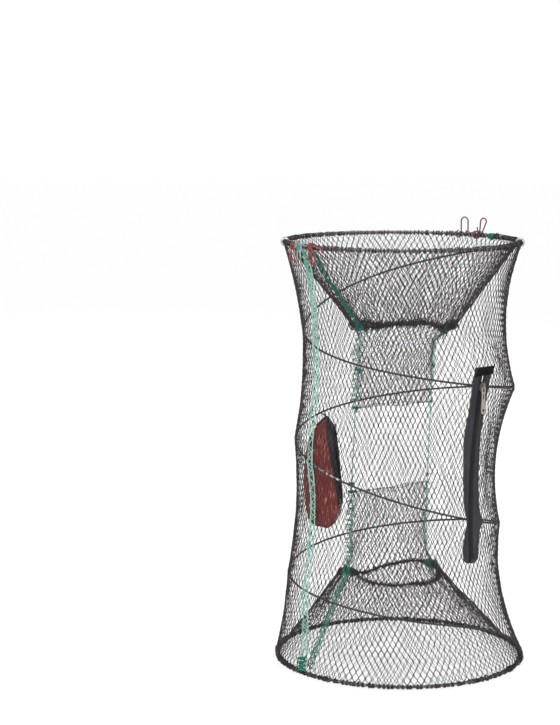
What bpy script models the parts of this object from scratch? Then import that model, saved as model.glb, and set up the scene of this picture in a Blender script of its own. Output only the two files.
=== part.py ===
"""Collapsible spring fish trap: two wire rings, one coil spring, netting walls, two netting funnels.

The trap stands upright on its bottom ring. Z is up, X points to the right of the zip's side,
and the origin is at the middle of the ground face. Azimuths run anticlockwise from +X.
"""

import math

import bmesh
import bpy
from mathutils import Matrix, Vector

# Overall frame
TRAP_HEIGHT = 0.540
TOP_RING_RADIUS = 0.1485
BOTTOM_RING_RADIUS = 0.1580
RING_WIRE = 0.0030
HEM_WALL = 0.0010
HEM_SLIT = 16.0
GAP = 0.0003
RING_POINTS = 36

# Coil spring: wire, and its route as turn, radius and share of the height between its ends
COIL_WIRE = 0.0025
COIL_POINTS_PER_TURN = 24
COIL_START = 0.004
COIL_END = 2.996
COIL_ROUTE = (
    (0.10, 0.1440, 0.980),
    (0.25, 0.1340, 0.923),
    (0.50, 0.1240, 0.798),
    (0.87, 0.1395, 0.687),
    (1.00, 0.1430, 0.655),
    (1.25, 0.1400, 0.598),
    (1.50, 0.1340, 0.525),
    (1.87, 0.1240, 0.364),
    (2.00, 0.1265, 0.320),
    (2.50, 0.1420, 0.200),
    (2.63, 0.1460, 0.178),
    (2.76, 0.1490, 0.147),
    (2.85, 0.1515, 0.118),
    (2.92, 0.1545, 0.074),
)
COIL_TURNS = 3.0

# Netting
NET_BAR = 0.0015
NET_SLACK = 0.0042
NET_SLACK_REACH = 0.060
NET_WAIST = 0.015
NET_WAIST_SPAN = 0.180
NET_COLUMNS_TO_ZIP = 5
NET_COLUMNS_FROM_ZIP = 14
NET_ROWS_ABOVE_ZIP = 2
NET_ROWS_AT_ZIP = 3
NET_ROWS_BELOW_ZIP = 2
NET_CUT = 0.003
NET_CORNER = 0.0006
NET_RIM_ANGLE = 25.0
FUNNEL_COLUMNS = 16
FUNNEL_ROWS = 2
THROAT_COLUMNS = 10
THROAT_ROWS = 2

# Funnels and throats
SEAM_ANGLE = 215.0
TOP_FUNNEL_DEPTH = 0.105
BOTTOM_FUNNEL_DEPTH = 0.104
MOUTH_RADIUS = 0.064
MOUTH_CORD = 0.0045
TOP_MOUTH_SHIFT = 0.003
BOTTOM_MOUTH_SHIFT = -0.012
TOP_SLOT_SHIFT = -0.009
BOTTOM_SLOT_SHIFT = -0.014
TOP_THROAT_LENGTH = 0.103
BOTTOM_THROAT_LENGTH = 0.113
SLOT_HALF_WIDTH = 0.057
SLOT_HALF_GAP = 0.006

# Green cord: throat ties and seam lacing
TIE_CORD = 0.0020
TIE_KNOT = 0.0060
KNOT_DROP = 0.0045
LACING_CORD = 0.0018
SEAM_WIDTH = 0.010
SEAM_DRIFT = 6.5
SEAM_BEND_HEIGHT = 0.170
SEAM_STITCHES = 26
FUNNEL_SEAM_STITCHES = 10
WHIPPING_TURNS = 3
FRONT_WHIPPING_ANGLE = 212.0
REAR_WHIPPING_ANGLE = 37.5

# Zip
ZIP_ANGLE = 312.0
ZIP_LENGTH = 0.246
ZIP_FOOT_HEIGHT = 0.143
ZIP_TOP_RADIUS = 0.1493
ZIP_FOOT_RADIUS = 0.1325
ZIP_SAG = 0.0098
ZIP_SEAT = 0.0016
TAPE_WIDTH = 0.0250
TAPE_THICKNESS = 0.0008
CHAIN_WIDTH = 0.0060
CHAIN_THICKNESS = 0.0018
TOP_BAR_HEIGHT = 0.006
FOOT_STOP_HEIGHT = 0.005
BAR_THICKNESS = 0.0012
TAPE_PARTING = 0.0017
SLIDER_BELOW_TOP = 0.020
SLIDER_WIDTH = 0.0096
SLIDER_LENGTH = 0.0120
SLIDER_PLATE = 0.0010
SLIDER_POST = 0.0010
SLIDER_POST_LENGTH = 0.0025
BAIL_WIRE = 0.0012
BAIL_LENGTH = 0.0070
BAIL_HEIGHT = 0.0036
PULL_WIDTH = 0.0070
PULL_LENGTH = 0.0340
PULL_THICKNESS = 0.0012
PULL_CROSSBAR = 0.0012
PULL_EYE_WIDTH = 0.0034
PULL_EYE_LENGTH = 0.0052
PULL_HOLE = 0.0036

# Bait pocket: its edges lie across from its middle at equal steps from its foot to its top
POCKET_ANGLE = 212.0
POCKET_LEFT = (-0.018, -0.033, -0.041, -0.039, -0.031, -0.0155, 0.0015)
POCKET_RIGHT = (0.027, 0.0425, 0.0448, 0.0428, 0.0398, 0.0370, 0.0310)
POCKET_HEIGHT = 0.131
POCKET_PEAK = 0.010
POCKET_FOOT_HEIGHT = 0.183
POCKET_DEPTH = 0.012
POCKET_LEAN = 3.0
POCKET_REACH = 0.124
POCKET_SLACK = 0.0016
POCKET_BULGE_OUT = 0.25
POCKET_LIP = 0.0046
POCKET_WALL = 0.0009
CLOSURE_WIDTH = 0.011
CLOSURE_THICKNESS = 0.0017

# Latch hooks and clear sleeves on the top ring
HOOK_WIRE = 0.0020
HOOK_HEIGHT = 0.0235
HOOK_WIDTH = 0.0105
HOOK_RETURN = 0.0150
HOOK_CURL = 0.0024
EYE_PLAY = 0.0003
REAR_HOOK_ANGLES = (59.8, 48.8)
FRONT_HOOK_ANGLES = (205.0, 221.5)
SLEEVE_BORE = 0.0080
SLEEVE_OUTSIDE = 0.0116
SLEEVE_LENGTH = 0.014
SLEEVE_SLIT = 40.0
SLEEVE_ANGLES = (185.0, 357.0)

ZERO = 1e-9
MERGE = 0.00001

HEM_BORE = RING_WIRE / 2 + GAP
HEM_RADIUS = HEM_BORE + HEM_WALL
HEM_CORNER = HEM_RADIUS / math.cos(math.pi / 8)
BOTTOM_RING_HEIGHT = HEM_RADIUS
TOP_RING_HEIGHT = TRAP_HEIGHT - HEM_RADIUS
COIL_SEAT = HEM_RADIUS + GAP + COIL_WIRE / 2
RIM_SEAT = HEM_CORNER + GAP + NET_BAR / 2 + NET_CORNER
NET_LIFT = COIL_WIRE / 2 + GAP + NET_BAR / 2
TOP_MOUTH_HEIGHT = TOP_RING_HEIGHT - TOP_FUNNEL_DEPTH
BOTTOM_MOUTH_HEIGHT = BOTTOM_RING_HEIGHT + BOTTOM_FUNNEL_DEPTH
TOP_SLOT_HEIGHT = TOP_MOUTH_HEIGHT - TOP_THROAT_LENGTH
BOTTOM_SLOT_HEIGHT = BOTTOM_MOUTH_HEIGHT + BOTTOM_THROAT_LENGTH
ZIP_TOP_HEIGHT = ZIP_FOOT_HEIGHT + ZIP_LENGTH
ZIP_MIDDLE_HEIGHT = ZIP_FOOT_HEIGHT + ZIP_LENGTH / 2
SLIDER_REST_HEIGHT = ZIP_TOP_HEIGHT - SLIDER_BELOW_TOP
ZIP_RISE = (ZIP_TOP_RADIUS - ZIP_FOOT_RADIUS) / ZIP_LENGTH
ZIP_ARC = ZIP_LENGTH**2 / (8 * ZIP_SAG) + ZIP_SAG / 2
ZIP_CENTRE_RADIUS = (ZIP_TOP_RADIUS + ZIP_FOOT_RADIUS) / 2 - ZIP_SAG + ZIP_ARC * math.cos(math.atan(ZIP_RISE))
ZIP_CENTRE_HEIGHT = ZIP_MIDDLE_HEIGHT - ZIP_ARC * math.sin(math.atan(ZIP_RISE))


def clear_scene():
    for obj in list(bpy.data.objects):
        bpy.data.objects.remove(obj, do_unlink=True)


def collection(name):
    made = bpy.data.collections.new(name)
    bpy.context.scene.collection.children.link(made)
    return made


def linear(channel):
    return channel / 12.92 if channel <= 0.04045 else ((channel + 0.055) / 1.055) ** 2.4


def material(name, shade, roughness, metallic=0.0, alpha=1.0):
    made = bpy.data.materials.get(name)
    if made:
        return made
    made = bpy.data.materials.new(name)
    made.use_nodes = True
    surface = made.node_tree.nodes["Principled BSDF"]
    colour = [linear(int(shade[i : i + 2], 16) / 255) for i in (0, 2, 4)]
    surface.inputs["Base Color"].default_value = (*colour, 1.0)
    surface.inputs["Roughness"].default_value = roughness
    surface.inputs["Metallic"].default_value = metallic
    surface.inputs["Alpha"].default_value = alpha
    made.diffuse_color = (*colour, alpha)
    return made


def steel():
    return material("galvanised_wire", "8C8E8E", 0.38, 0.9)


def black_twine():
    return material("black_twine", "2B2A2E", 0.85)


def green_cord():
    return material("green_cord", "2F7A66", 0.8)


def pale_lacing():
    return material("pale_green_lacing", "A9CDBE", 0.8)


def zip_cloth():
    return material("zip_cloth", "34323A", 0.85)


def zip_nylon():
    return material("zip_nylon", "1E1D20", 0.45)


def zip_metal():
    return material("zip_metal", "B9B4A6", 0.32, 0.95)


def pocket_mesh():
    return material("red_mesh_cloth", "802D2A", 0.8)


def closure_cloth():
    return material("closure_cloth", "232226", 0.95)


def hook_plastic():
    return material("red_coated_wire", "A54B4B", 0.4)


def clear_plastic():
    return material("clear_plastic", "D5D9D8", 0.25, 0.0, 0.45)


def around(angle, radius, height):
    """The point at an azimuth in degrees, a radius and a height."""
    turned = math.radians(angle)
    return Vector((radius * math.cos(turned), radius * math.sin(turned), height))


def frame_at(angle, radius, height, tilt=0.0):
    """Axes at a point: X runs along the tangent, Y outwards and Z up, leaned outwards by tilt degrees."""
    spin = Matrix.Rotation(math.radians(angle - 90.0), 4, "Z")
    lean = Matrix.Rotation(math.radians(-tilt), 4, "X")
    return Matrix.Translation(around(angle, radius, height)) @ spin @ lean


def link(name, data, finish):
    obj = bpy.data.objects.new(name, data)
    data.materials.append(finish)
    PARTS.objects.link(obj)
    return obj


def mesh_object(name, shape, finish, smooth=True):
    mesh = bpy.data.meshes.new(name)
    shape.to_mesh(mesh)
    shape.free()
    if smooth:
        mesh.shade_smooth()
        mesh.set_sharp_from_angle(angle=math.radians(40))
    return link(name, mesh, finish)


def set_origin(obj, point):
    """Moves an object's origin to a point on its joint's axis, with its shape left where it is."""
    obj.data.transform(Matrix.Translation(-point))
    obj.location = point
    return obj


def tube(name, points, width, finish, closed=False, swell=None):
    """A cord or wire along points; swell gives a share of the width at each point."""
    data = bpy.data.curves.new(name, "CURVE")
    data.dimensions = "3D"
    data.bevel_depth = width / 2
    data.bevel_resolution = 1
    data.use_fill_caps = True
    spline = data.splines.new("POLY")
    spline.points.add(len(points) - 1)
    for n, point in enumerate(points):
        spline.points[n].co = (*point, 1.0)
        spline.points[n].radius = swell[n] if swell else 1.0
    spline.use_cyclic_u = closed
    return link(name, data, finish)


def between(keys, place):
    """The smooth curve through (place, value) keys, level at both ends."""
    last = len(keys) - 2
    n = min(last, max(0, sum(1 for k in keys if k[0] <= place) - 1))

    def slope(at):
        if at in (0, len(keys) - 1):
            return 0.0
        return (keys[at + 1][1] - keys[at - 1][1]) / (keys[at + 1][0] - keys[at - 1][0])

    (x0, y0), (x1, y1) = keys[n], keys[n + 1]
    step = x1 - x0
    f = (place - x0) / step
    start = (2 * f**3 - 3 * f**2 + 1) * y0 + (f**3 - 2 * f**2 + f) * step * slope(n)
    return start + (3 * f**2 - 2 * f**3) * y1 + (f**3 - f**2) * step * slope(n + 1)


def coil_radius(turn):
    ends = (0.0, TOP_RING_RADIUS), (COIL_TURNS, BOTTOM_RING_RADIUS)
    return between([ends[0], *((t, r) for t, r, _ in COIL_ROUTE), ends[1]], turn)


def coil_height(turn):
    share = between([(0.0, 1.0), *((t, h) for t, _, h in COIL_ROUTE), (COIL_TURNS, 0.0)], turn)
    low = BOTTOM_RING_HEIGHT + COIL_SEAT
    high = TOP_RING_HEIGHT - COIL_SEAT
    return low + share * (high - low)


def coil_passes(angle):
    """The radius and height of each pass of the coil at an azimuth, from the top down."""
    first = (angle % 360.0) / 360.0
    turns = [first + n for n in range(int(COIL_TURNS))]
    return [(coil_radius(t), coil_height(t)) for t in turns]


def rim_radius(ring_radius):
    return ring_radius + RIM_SEAT * math.cos(math.radians(NET_RIM_ANGLE))


def rim_drop():
    return RIM_SEAT * math.sin(math.radians(NET_RIM_ANGLE))


def zip_radius(height):
    """The zip's curve: an arc bent in towards the axis, about a centre well outside the trap."""
    rise = height - ZIP_CENTRE_HEIGHT
    return ZIP_CENTRE_RADIUS - math.sqrt(ZIP_ARC**2 - rise**2)


def zip_hold(angle, height):
    """How far the stiff zip holds the netting to its own curve: 1 at the zip, 0 away from it."""
    apart = abs((angle - ZIP_ANGLE + 180.0) % 360.0 - 180.0)
    beyond = max(0.0, ZIP_FOOT_HEIGHT - height, height - ZIP_TOP_HEIGHT)
    near = max(0.0, 1.0 - max(0.0, apart - 6.0) / 20.0) * max(0.0, 1.0 - beyond / 0.05)
    return near * near * (3 - 2 * near)


def net_slack(height):
    """The coarse bars stand a little off the coil, but not where a ring holds them."""
    from_ring = min(height - BOTTOM_RING_HEIGHT, TOP_RING_HEIGHT - height)
    return NET_SLACK * min(1.0, from_ring / NET_SLACK_REACH)


def net_radius(angle, height):
    """The outer netting: held out by the rings and the coil, drawn in to a waist between them."""
    held = [(rim_radius(TOP_RING_RADIUS), TOP_RING_HEIGHT - rim_drop())]
    held += [(r + NET_LIFT + net_slack(h), h) for r, h in coil_passes(angle)]
    held += [(rim_radius(BOTTOM_RING_RADIUS), BOTTOM_RING_HEIGHT + rim_drop())]
    above = [p for p in held if p[1] >= height - ZERO][-1]
    below = [p for p in held if p[1] <= height + ZERO][0]
    span = above[1] - below[1]
    if span < ZERO:
        return above[0]
    f = (above[1] - height) / span
    waist = NET_WAIST * (span / NET_WAIST_SPAN) ** 2 * math.sin(math.pi * f) ** 4
    free = above[0] + (below[0] - above[0]) * f - waist
    hold = zip_hold(angle, height)
    return free + (zip_radius(height) - ZIP_SEAT - free) * hold


def diamond_net(name, columns, rows, place, cut=None):
    """Diamond netting on the surface place(column, row), with a zigzag edge at each rim.

    The squares of a grid are poked to their centres, and the grid's own lines are dissolved.
    Netting for which cut(centre) is true is taken out, and its crossings are drawn apart.
    """
    shape = bmesh.new()
    bmesh.ops.create_grid(shape, x_segments=columns, y_segments=rows, size=1.0)
    for edge in shape.edges:
        edge.seam = True
    bmesh.ops.poke(shape, faces=shape.faces[:])
    for v in shape.verts:
        v.co = place((v.co.x + 1) / 2 * columns, (v.co.y + 1) / 2 * rows)
    bmesh.ops.remove_doubles(shape, verts=shape.verts[:], dist=MERGE)
    lines = [e for e in shape.edges if e.seam and len(e.link_faces) == 2]
    bmesh.ops.dissolve_edges(shape, edges=lines, use_verts=False)
    rims = [f for f in shape.faces if len(f.verts) == 3]
    bmesh.ops.delete(shape, geom=rims, context="FACES")
    if cut:
        opened = [f for f in shape.faces if cut(f.calc_center_median())]
        bmesh.ops.delete(shape, geom=opened, context="FACES_ONLY")
        for v in [v for v in shape.verts if len(v.link_faces) == 2 and len(v.link_edges) == 4]:
            for side in bmesh.utils.vert_separate(v, v.link_faces[0].edges[:]):
                inside = side.link_faces[0].calc_center_median() - side.co
                side.co += inside.normalized() * NET_CUT
    obj = mesh_object(name, shape, black_twine(), smooth=False)
    bars = obj.modifiers.new("bars", "WIREFRAME")
    bars.thickness = NET_BAR
    bars.use_even_offset = True
    bars.use_boundary = True
    return obj


def read(values, place):
    """The value at a place between a list's numbered values."""
    n = min(int(place + ZERO), len(values) - 2)
    return values[n] + (values[n + 1] - values[n]) * (place - n)


def steps(start, end, count):
    return [start + (end - start) * n / count for n in range(count)]


def make_outer_net():
    to_zip = (ZIP_ANGLE - SEAM_ANGLE) % 360.0
    angles = steps(SEAM_ANGLE, SEAM_ANGLE + to_zip, NET_COLUMNS_TO_ZIP)
    angles += steps(SEAM_ANGLE + to_zip, SEAM_ANGLE + 360.0, NET_COLUMNS_FROM_ZIP)
    angles += [SEAM_ANGLE + 360.0]
    low = BOTTOM_RING_HEIGHT + rim_drop()
    high = TOP_RING_HEIGHT - rim_drop()
    heights = steps(low, ZIP_FOOT_HEIGHT, NET_ROWS_BELOW_ZIP)
    heights += steps(ZIP_FOOT_HEIGHT, ZIP_TOP_HEIGHT, NET_ROWS_AT_ZIP)
    heights += steps(ZIP_TOP_HEIGHT, high, NET_ROWS_ABOVE_ZIP)
    heights += [high]

    def place(column, row):
        angle, height = read(angles, column), read(heights, row)
        return around(angle, net_radius(angle, height), height)

    def behind_zip(centre):
        apart = abs(math.degrees(math.atan2(centre.y, centre.x)) % 360.0 - ZIP_ANGLE)
        return apart < 1.0 and ZIP_FOOT_HEIGHT < centre.z < ZIP_TOP_HEIGHT and row_is_whole(centre.z)

    def row_is_whole(height):
        row = (height - ZIP_FOOT_HEIGHT) / ZIP_LENGTH * NET_ROWS_AT_ZIP
        return abs(row % 1.0 - 0.5) < 0.2

    diamond_net("outer_net", len(angles) - 1, len(heights) - 1, place, behind_zip)


def mouth_centre(shift, share=1.0):
    """The mouth hangs a little off the axis; share runs from 0 at the ring to 1 at the mouth."""
    return Vector((shift * share, 0.0, 0.0))


def make_funnel(name, ring_radius, ring_height, mouth_height, shift):
    """A cone of netting from the inner side of a ring to the cord round its mouth."""
    inward = 1.0 if mouth_height > ring_height else -1.0
    flat = ring_radius * math.cos(math.pi / RING_POINTS)
    rim = flat - RIM_SEAT * math.cos(math.radians(NET_RIM_ANGLE))
    rim_height = ring_height + inward * rim_drop()
    mouth = MOUTH_RADIUS + MOUTH_CORD / 2 + GAP + NET_BAR / 2

    def place(column, row):
        f = row / FUNNEL_ROWS
        angle = SEAM_ANGLE + 360.0 * column / FUNNEL_COLUMNS
        radius = rim + (mouth - rim) * f
        height = rim_height + (mouth_height - rim_height) * f
        return around(angle, radius, height) + mouth_centre(shift, f)

    diamond_net(name, FUNNEL_COLUMNS, FUNNEL_ROWS, place)


def slot_point(turn, long_side, short_side, height, shift):
    """A point of the throat's oval section, whose long side lies in line with the seam."""
    oval = Vector((long_side * math.cos(turn), short_side * math.sin(turn), height))
    return Matrix.Rotation(math.radians(SEAM_ANGLE), 3, "Z") @ oval + mouth_centre(shift)


def make_throat(name, mouth_height, slot_height, mouth_shift, slot_shift):
    """A sleeve of netting from the mouth's cord, drawn flat to a slot that fish don't find again."""
    inward = 1.0 if slot_height > mouth_height else -1.0
    start = mouth_height + inward * (MOUTH_CORD / 2 + GAP + NET_BAR / 2 + NET_CORNER)

    def place(column, row):
        f = row / THROAT_ROWS
        long_side = MOUTH_RADIUS + (SLOT_HALF_WIDTH - MOUTH_RADIUS) * f
        short_side = MOUTH_RADIUS + (SLOT_HALF_GAP - MOUTH_RADIUS) * f
        turn = math.tau * column / THROAT_COLUMNS
        shift = mouth_shift + (slot_shift - mouth_shift) * f
        return slot_point(turn, long_side, short_side, start + (slot_height - start) * f, shift)

    diamond_net(name, THROAT_COLUMNS, THROAT_ROWS, place)


def make_mouth_cord(name, height, shift):
    points = [
        around(360.0 * n / RING_POINTS, MOUTH_RADIUS, height) + mouth_centre(shift)
        for n in range(RING_POINTS)
    ]
    tube(name, points, MOUTH_CORD, black_twine(), closed=True)


def make_tie_cord(name, side):
    """One green cord from knot to knot: down a throat's edge, across to the other and along its edge."""
    beyond = NET_BAR / 2 + GAP + TIE_CORD / 2
    knot_out = MOUTH_CORD / 2 + GAP + TIE_KNOT / 2
    reach = math.pi * side

    def edge(half_width, height, shift):
        return slot_point(reach, half_width + beyond, 0.0, height, shift)

    top, bottom = TOP_MOUTH_SHIFT, BOTTOM_MOUTH_SHIFT
    below, above = TOP_MOUTH_HEIGHT - 3 * KNOT_DROP, BOTTOM_MOUTH_HEIGHT + 3 * KNOT_DROP
    keys = [
        slot_point(reach, MOUTH_RADIUS + knot_out, 0.0, TOP_MOUTH_HEIGHT - KNOT_DROP, top),
        edge(MOUTH_RADIUS, below, top),
        edge(SLOT_HALF_WIDTH + 0.0035, (below + TOP_SLOT_HEIGHT) / 2, (top + TOP_SLOT_SHIFT) / 2),
        edge(SLOT_HALF_WIDTH, TOP_SLOT_HEIGHT, TOP_SLOT_SHIFT),
        edge(SLOT_HALF_WIDTH, BOTTOM_SLOT_HEIGHT, BOTTOM_SLOT_SHIFT),
        edge(SLOT_HALF_WIDTH + 0.0035, (above + BOTTOM_SLOT_HEIGHT) / 2, (bottom + BOTTOM_SLOT_SHIFT) / 2),
        edge(MOUTH_RADIUS, above, bottom),
        slot_point(reach, MOUTH_RADIUS + knot_out, 0.0, BOTTOM_MOUTH_HEIGHT + KNOT_DROP, bottom),
    ]
    route, swell = [], []
    full = TIE_KNOT / TIE_CORD
    for n, (a, b) in enumerate(zip(keys, keys[1:])):
        knotted = n == 0
        route += [a, a.lerp(b, 0.15), a.lerp(b, 0.5)] if knotted else [a, a.lerp(b, 0.5)]
        swell += [full, full, 1.0] if knotted else [1.0, 1.0]
    route += [keys[-2].lerp(keys[-1], 0.85), keys[-1]]
    swell += [full, full]
    tube(name, route, TIE_CORD, green_cord(), swell=swell)


def zigzag(name, count, place, finish):
    """Lacing that crosses from side to side; place(share, side) gives its points."""
    points = [place(n / count, 1 if n % 2 else -1) for n in range(count + 1)]
    tube(name, points, LACING_CORD, finish)


def seam_angle(height):
    """The side seam runs straight down and drifts to the front near the ground."""
    return SEAM_ANGLE + SEAM_DRIFT * max(0.0, 1.0 - height / SEAM_BEND_HEIGHT)


def make_side_seam():
    low = BOTTOM_RING_HEIGHT + HEM_CORNER + LACING_CORD
    high = TOP_RING_HEIGHT - HEM_CORNER - LACING_CORD
    out = NET_BAR / 2 + GAP + LACING_CORD / 2

    def place(share, side):
        height = high + (low - high) * share
        angle = seam_angle(height)
        radius = net_radius(angle, height)
        apart = math.degrees(side * SEAM_WIDTH / 2 / radius)
        return around(angle + apart, radius + out + 3 * GAP, height)

    zigzag("side_seam_lacing", SEAM_STITCHES, place, pale_lacing())


def make_funnel_seam(name, ring_radius, ring_height, mouth_height, shift):
    """Lacing down a funnel's seam, on the side that faces the catch."""
    inward = 1.0 if mouth_height > ring_height else -1.0
    slope = Vector((MOUTH_RADIUS - ring_radius, mouth_height - ring_height)).normalized()
    out = NET_BAR + GAP + LACING_CORD / 2

    def place(share, side):
        f = 0.10 + 0.78 * share
        radius = ring_radius + (MOUTH_RADIUS - ring_radius) * f + out * abs(slope.y)
        height = ring_height + (mouth_height - ring_height) * f + inward * out * abs(slope.x)
        apart = math.degrees(side * SEAM_WIDTH / 2 / radius)
        return around(SEAM_ANGLE + apart, radius, height) + mouth_centre(shift, f)

    zigzag(name, FUNNEL_SEAM_STITCHES, place, green_cord())


def make_ring(name, radius, height):
    points = [around(360.0 * n / RING_POINTS, radius, height) for n in range(RING_POINTS)]
    return tube(name, points, RING_WIRE, steel(), closed=True)


def make_hem(name, radius, height):
    """The netting's edge rolled round a ring: a turned section that is open along one narrow slit."""
    corners = range(9)
    outer = [112.5 - 45.0 * n for n in corners]
    outer[0], outer[-1] = 135.0 - HEM_SLIT / 2, 135.0 + HEM_SLIT / 2 - 360.0
    bore = HEM_BORE / math.cos(math.pi / 8)
    shape = bmesh.new()
    section = [(HEM_RADIUS if n in (0, 8) else HEM_CORNER, a) for n, a in enumerate(outer)]
    section = [(HEM_CORNER * 0.924 if n in (0, 8) else r, a) for n, (r, a) in enumerate(section)]
    section += [(bore * 0.924 if n in (0, 8) else bore, a) for n, a in reversed(list(enumerate(outer)))]
    verts = []
    for reach, angle in section:
        turned = math.radians(angle)
        at = (radius + reach * math.cos(turned), 0.0, height + reach * math.sin(turned))
        verts.append(shape.verts.new(at))
    for a, b in zip(verts, verts[1:] + verts[:1]):
        shape.edges.new((a, b))
    obj = mesh_object(name, shape, black_twine(), smooth=False)
    spin = obj.modifiers.new("turned", "SCREW")
    spin.steps = RING_POINTS
    spin.render_steps = RING_POINTS
    spin.use_merge_vertices = True
    spin.merge_threshold = MERGE
    return obj


def make_coil():
    count = round((COIL_END - COIL_START) * COIL_POINTS_PER_TURN)
    turns = [COIL_START + (COIL_END - COIL_START) * n / count for n in range(count + 1)]
    points = [around(360.0 * t, coil_radius(t), coil_height(t)) for t in turns]
    tube("spring_coil", points, COIL_WIRE, steel())


def zip_strip(name, near, far, heights, columns, lift, thickness, finish):
    """A strip that follows the zip's curve, from near to far of its centre line at each height."""
    rows = len(heights) - 1
    shape = bmesh.new()
    bmesh.ops.create_grid(shape, x_segments=columns, y_segments=rows, size=1.0)
    for v in shape.verts:
        height = read(heights, (v.co.y + 1) / 2 * rows)
        radius = zip_radius(height) + lift + thickness / 2
        edge = near(height)
        aside = edge + (far - edge) * (v.co.x + 1) / 2
        v.co = around(ZIP_ANGLE + math.degrees(aside / radius), radius, height)
    obj = mesh_object(name, shape, finish)
    cloth = obj.modifiers.new("thickness", "SOLIDIFY")
    cloth.thickness = thickness
    cloth.offset = 0.0
    return obj


def tape_edge(height):
    """Half the space between the tapes: they meet below the slider and part in a lens above it."""
    share = max(0.0, (height - SLIDER_REST_HEIGHT) / SLIDER_BELOW_TOP)
    return GAP / 2 + TAPE_PARTING * math.sin(math.pi * share)


def make_zip():
    over = TAPE_THICKNESS + GAP
    top, foot = ZIP_TOP_HEIGHT, ZIP_FOOT_HEIGHT
    stop_top = foot + FOOT_STOP_HEIGHT
    teeth_low, teeth_high = stop_top + GAP, SLIDER_REST_HEIGHT - SLIDER_LENGTH / 2 - GAP
    closed = [*steps(foot, SLIDER_REST_HEIGHT, 16), *steps(SLIDER_REST_HEIGHT, top, 8), top]
    toothed = [*steps(teeth_low, teeth_high, 16), teeth_high]
    bar = [top - TOP_BAR_HEIGHT, top]
    stop = [foot, stop_top]
    for side, sign in (("left", -1.0), ("right", 1.0)):
        outer, chain = sign * TAPE_WIDTH / 2, sign * CHAIN_WIDTH / 2

        def edge(height):
            return sign * tape_edge(height)

        zip_strip(f"zip_tape_{side}", edge, outer, closed, 2, 0.0, TAPE_THICKNESS, zip_cloth())
        zip_strip(f"zip_teeth_{side}", edge, chain, toothed, 1, over, CHAIN_THICKNESS, zip_nylon())
    zip_strip("zip_top_bar", lambda z: -TAPE_WIDTH / 2, TAPE_WIDTH / 2, bar, 4, over, BAR_THICKNESS, zip_cloth())
    zip_strip("zip_foot_stop", lambda z: -CHAIN_WIDTH / 2, CHAIN_WIDTH / 2, stop, 2, over, BAR_THICKNESS, zip_nylon())


def block(low, high):
    shape = bmesh.new()
    bmesh.ops.create_cube(shape, size=1.0)
    size = Vector(high) - Vector(low)
    middle = (Vector(high) + Vector(low)) / 2
    bmesh.ops.transform(shape, matrix=Matrix.Translation(middle) @ Matrix.Diagonal((*size, 1.0)), verts=shape.verts)
    return shape


def cutter(name, shape, place):
    mesh = bpy.data.meshes.new(name)
    shape.to_mesh(mesh)
    shape.free()
    obj = bpy.data.objects.new(name, mesh)
    obj.matrix_world = place
    obj.hide_render = True
    obj.display_type = "WIRE"
    CUTTERS.objects.link(obj)
    return obj


def boolean(obj, other, operation):
    step = obj.modifiers.new(other.name, "BOOLEAN")
    step.operation = operation
    step.solver = "EXACT"
    step.object = other


def slider_place():
    """The slider's axes: its origin lies on the tape's outer face, its Z runs up the tape."""
    tilt = math.degrees(math.asin((SLIDER_REST_HEIGHT - ZIP_CENTRE_HEIGHT) / ZIP_ARC))
    radius = zip_radius(SLIDER_REST_HEIGHT) + TAPE_THICKNESS
    return frame_at(ZIP_ANGLE, radius, SLIDER_REST_HEIGHT, tilt)


def make_slider():
    """Two plates joined by a post between the tapes, with a way for the teeth and a wire bail on top."""
    place = slider_place()
    wide, half, post = SLIDER_WIDTH / 2, SLIDER_LENGTH / 2, SLIDER_POST / 2
    chain_top = GAP + CHAIN_THICKNESS + GAP
    top = chain_top + SLIDER_PLATE
    inner = -TAPE_THICKNESS - GAP
    under = inner - SLIDER_PLATE
    into = SLIDER_PLATE / 2
    channel = CHAIN_WIDTH / 2 + GAP
    post_foot = half - SLIDER_POST_LENGTH
    shape = block((-wide, GAP, -half), (wide, top, half))
    shape.transform(place)
    body = mesh_object("zip_slider", shape, zip_metal(), False)
    chain_way = block((-channel, -wide, -SLIDER_LENGTH), (channel, chain_top, post_foot))
    boolean(body, cutter("chain_way", chain_way, place), "DIFFERENCE")
    post_block = block((-post, inner - into, post_foot + into), (post, GAP + into, half - into / 2))
    under_plate = block((-wide, under, -half), (wide, inner, half))
    bail = tube("bail", bail_route(top), BAIL_WIRE, zip_metal())
    mesh = bpy.data.meshes.new_from_object(bail.evaluated_get(bpy.context.evaluated_depsgraph_get()))
    bpy.data.objects.remove(bail)
    arch = bmesh.new()
    arch.from_mesh(mesh)
    bmesh.ops.remove_doubles(arch, verts=arch.verts[:], dist=MERGE)
    boolean(body, cutter("slider_post", post_block, place), "UNION")
    boolean(body, cutter("slider_under_plate", under_plate, place), "UNION")
    boolean(body, cutter("slider_bail", arch, place), "UNION")
    set_origin(body, around(ZIP_ANGLE, ZIP_CENTRE_RADIUS, ZIP_CENTRE_HEIGHT))


def bail_route(top):
    """The wire arch on the slider's face, whose tunnel holds the pull's crossbar."""
    foot, crown = top - BAIL_WIRE / 4, top + BAIL_HEIGHT - BAIL_WIRE / 2
    half = BAIL_LENGTH / 2 - BAIL_WIRE / 2
    bend = half * 0.35
    return [
        (0.0, foot, -half),
        (0.0, crown - bend, -half),
        (0.0, crown, -half + bend),
        (0.0, crown, half - bend),
        (0.0, crown - bend, half),
        (0.0, foot, half),
    ]


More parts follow.
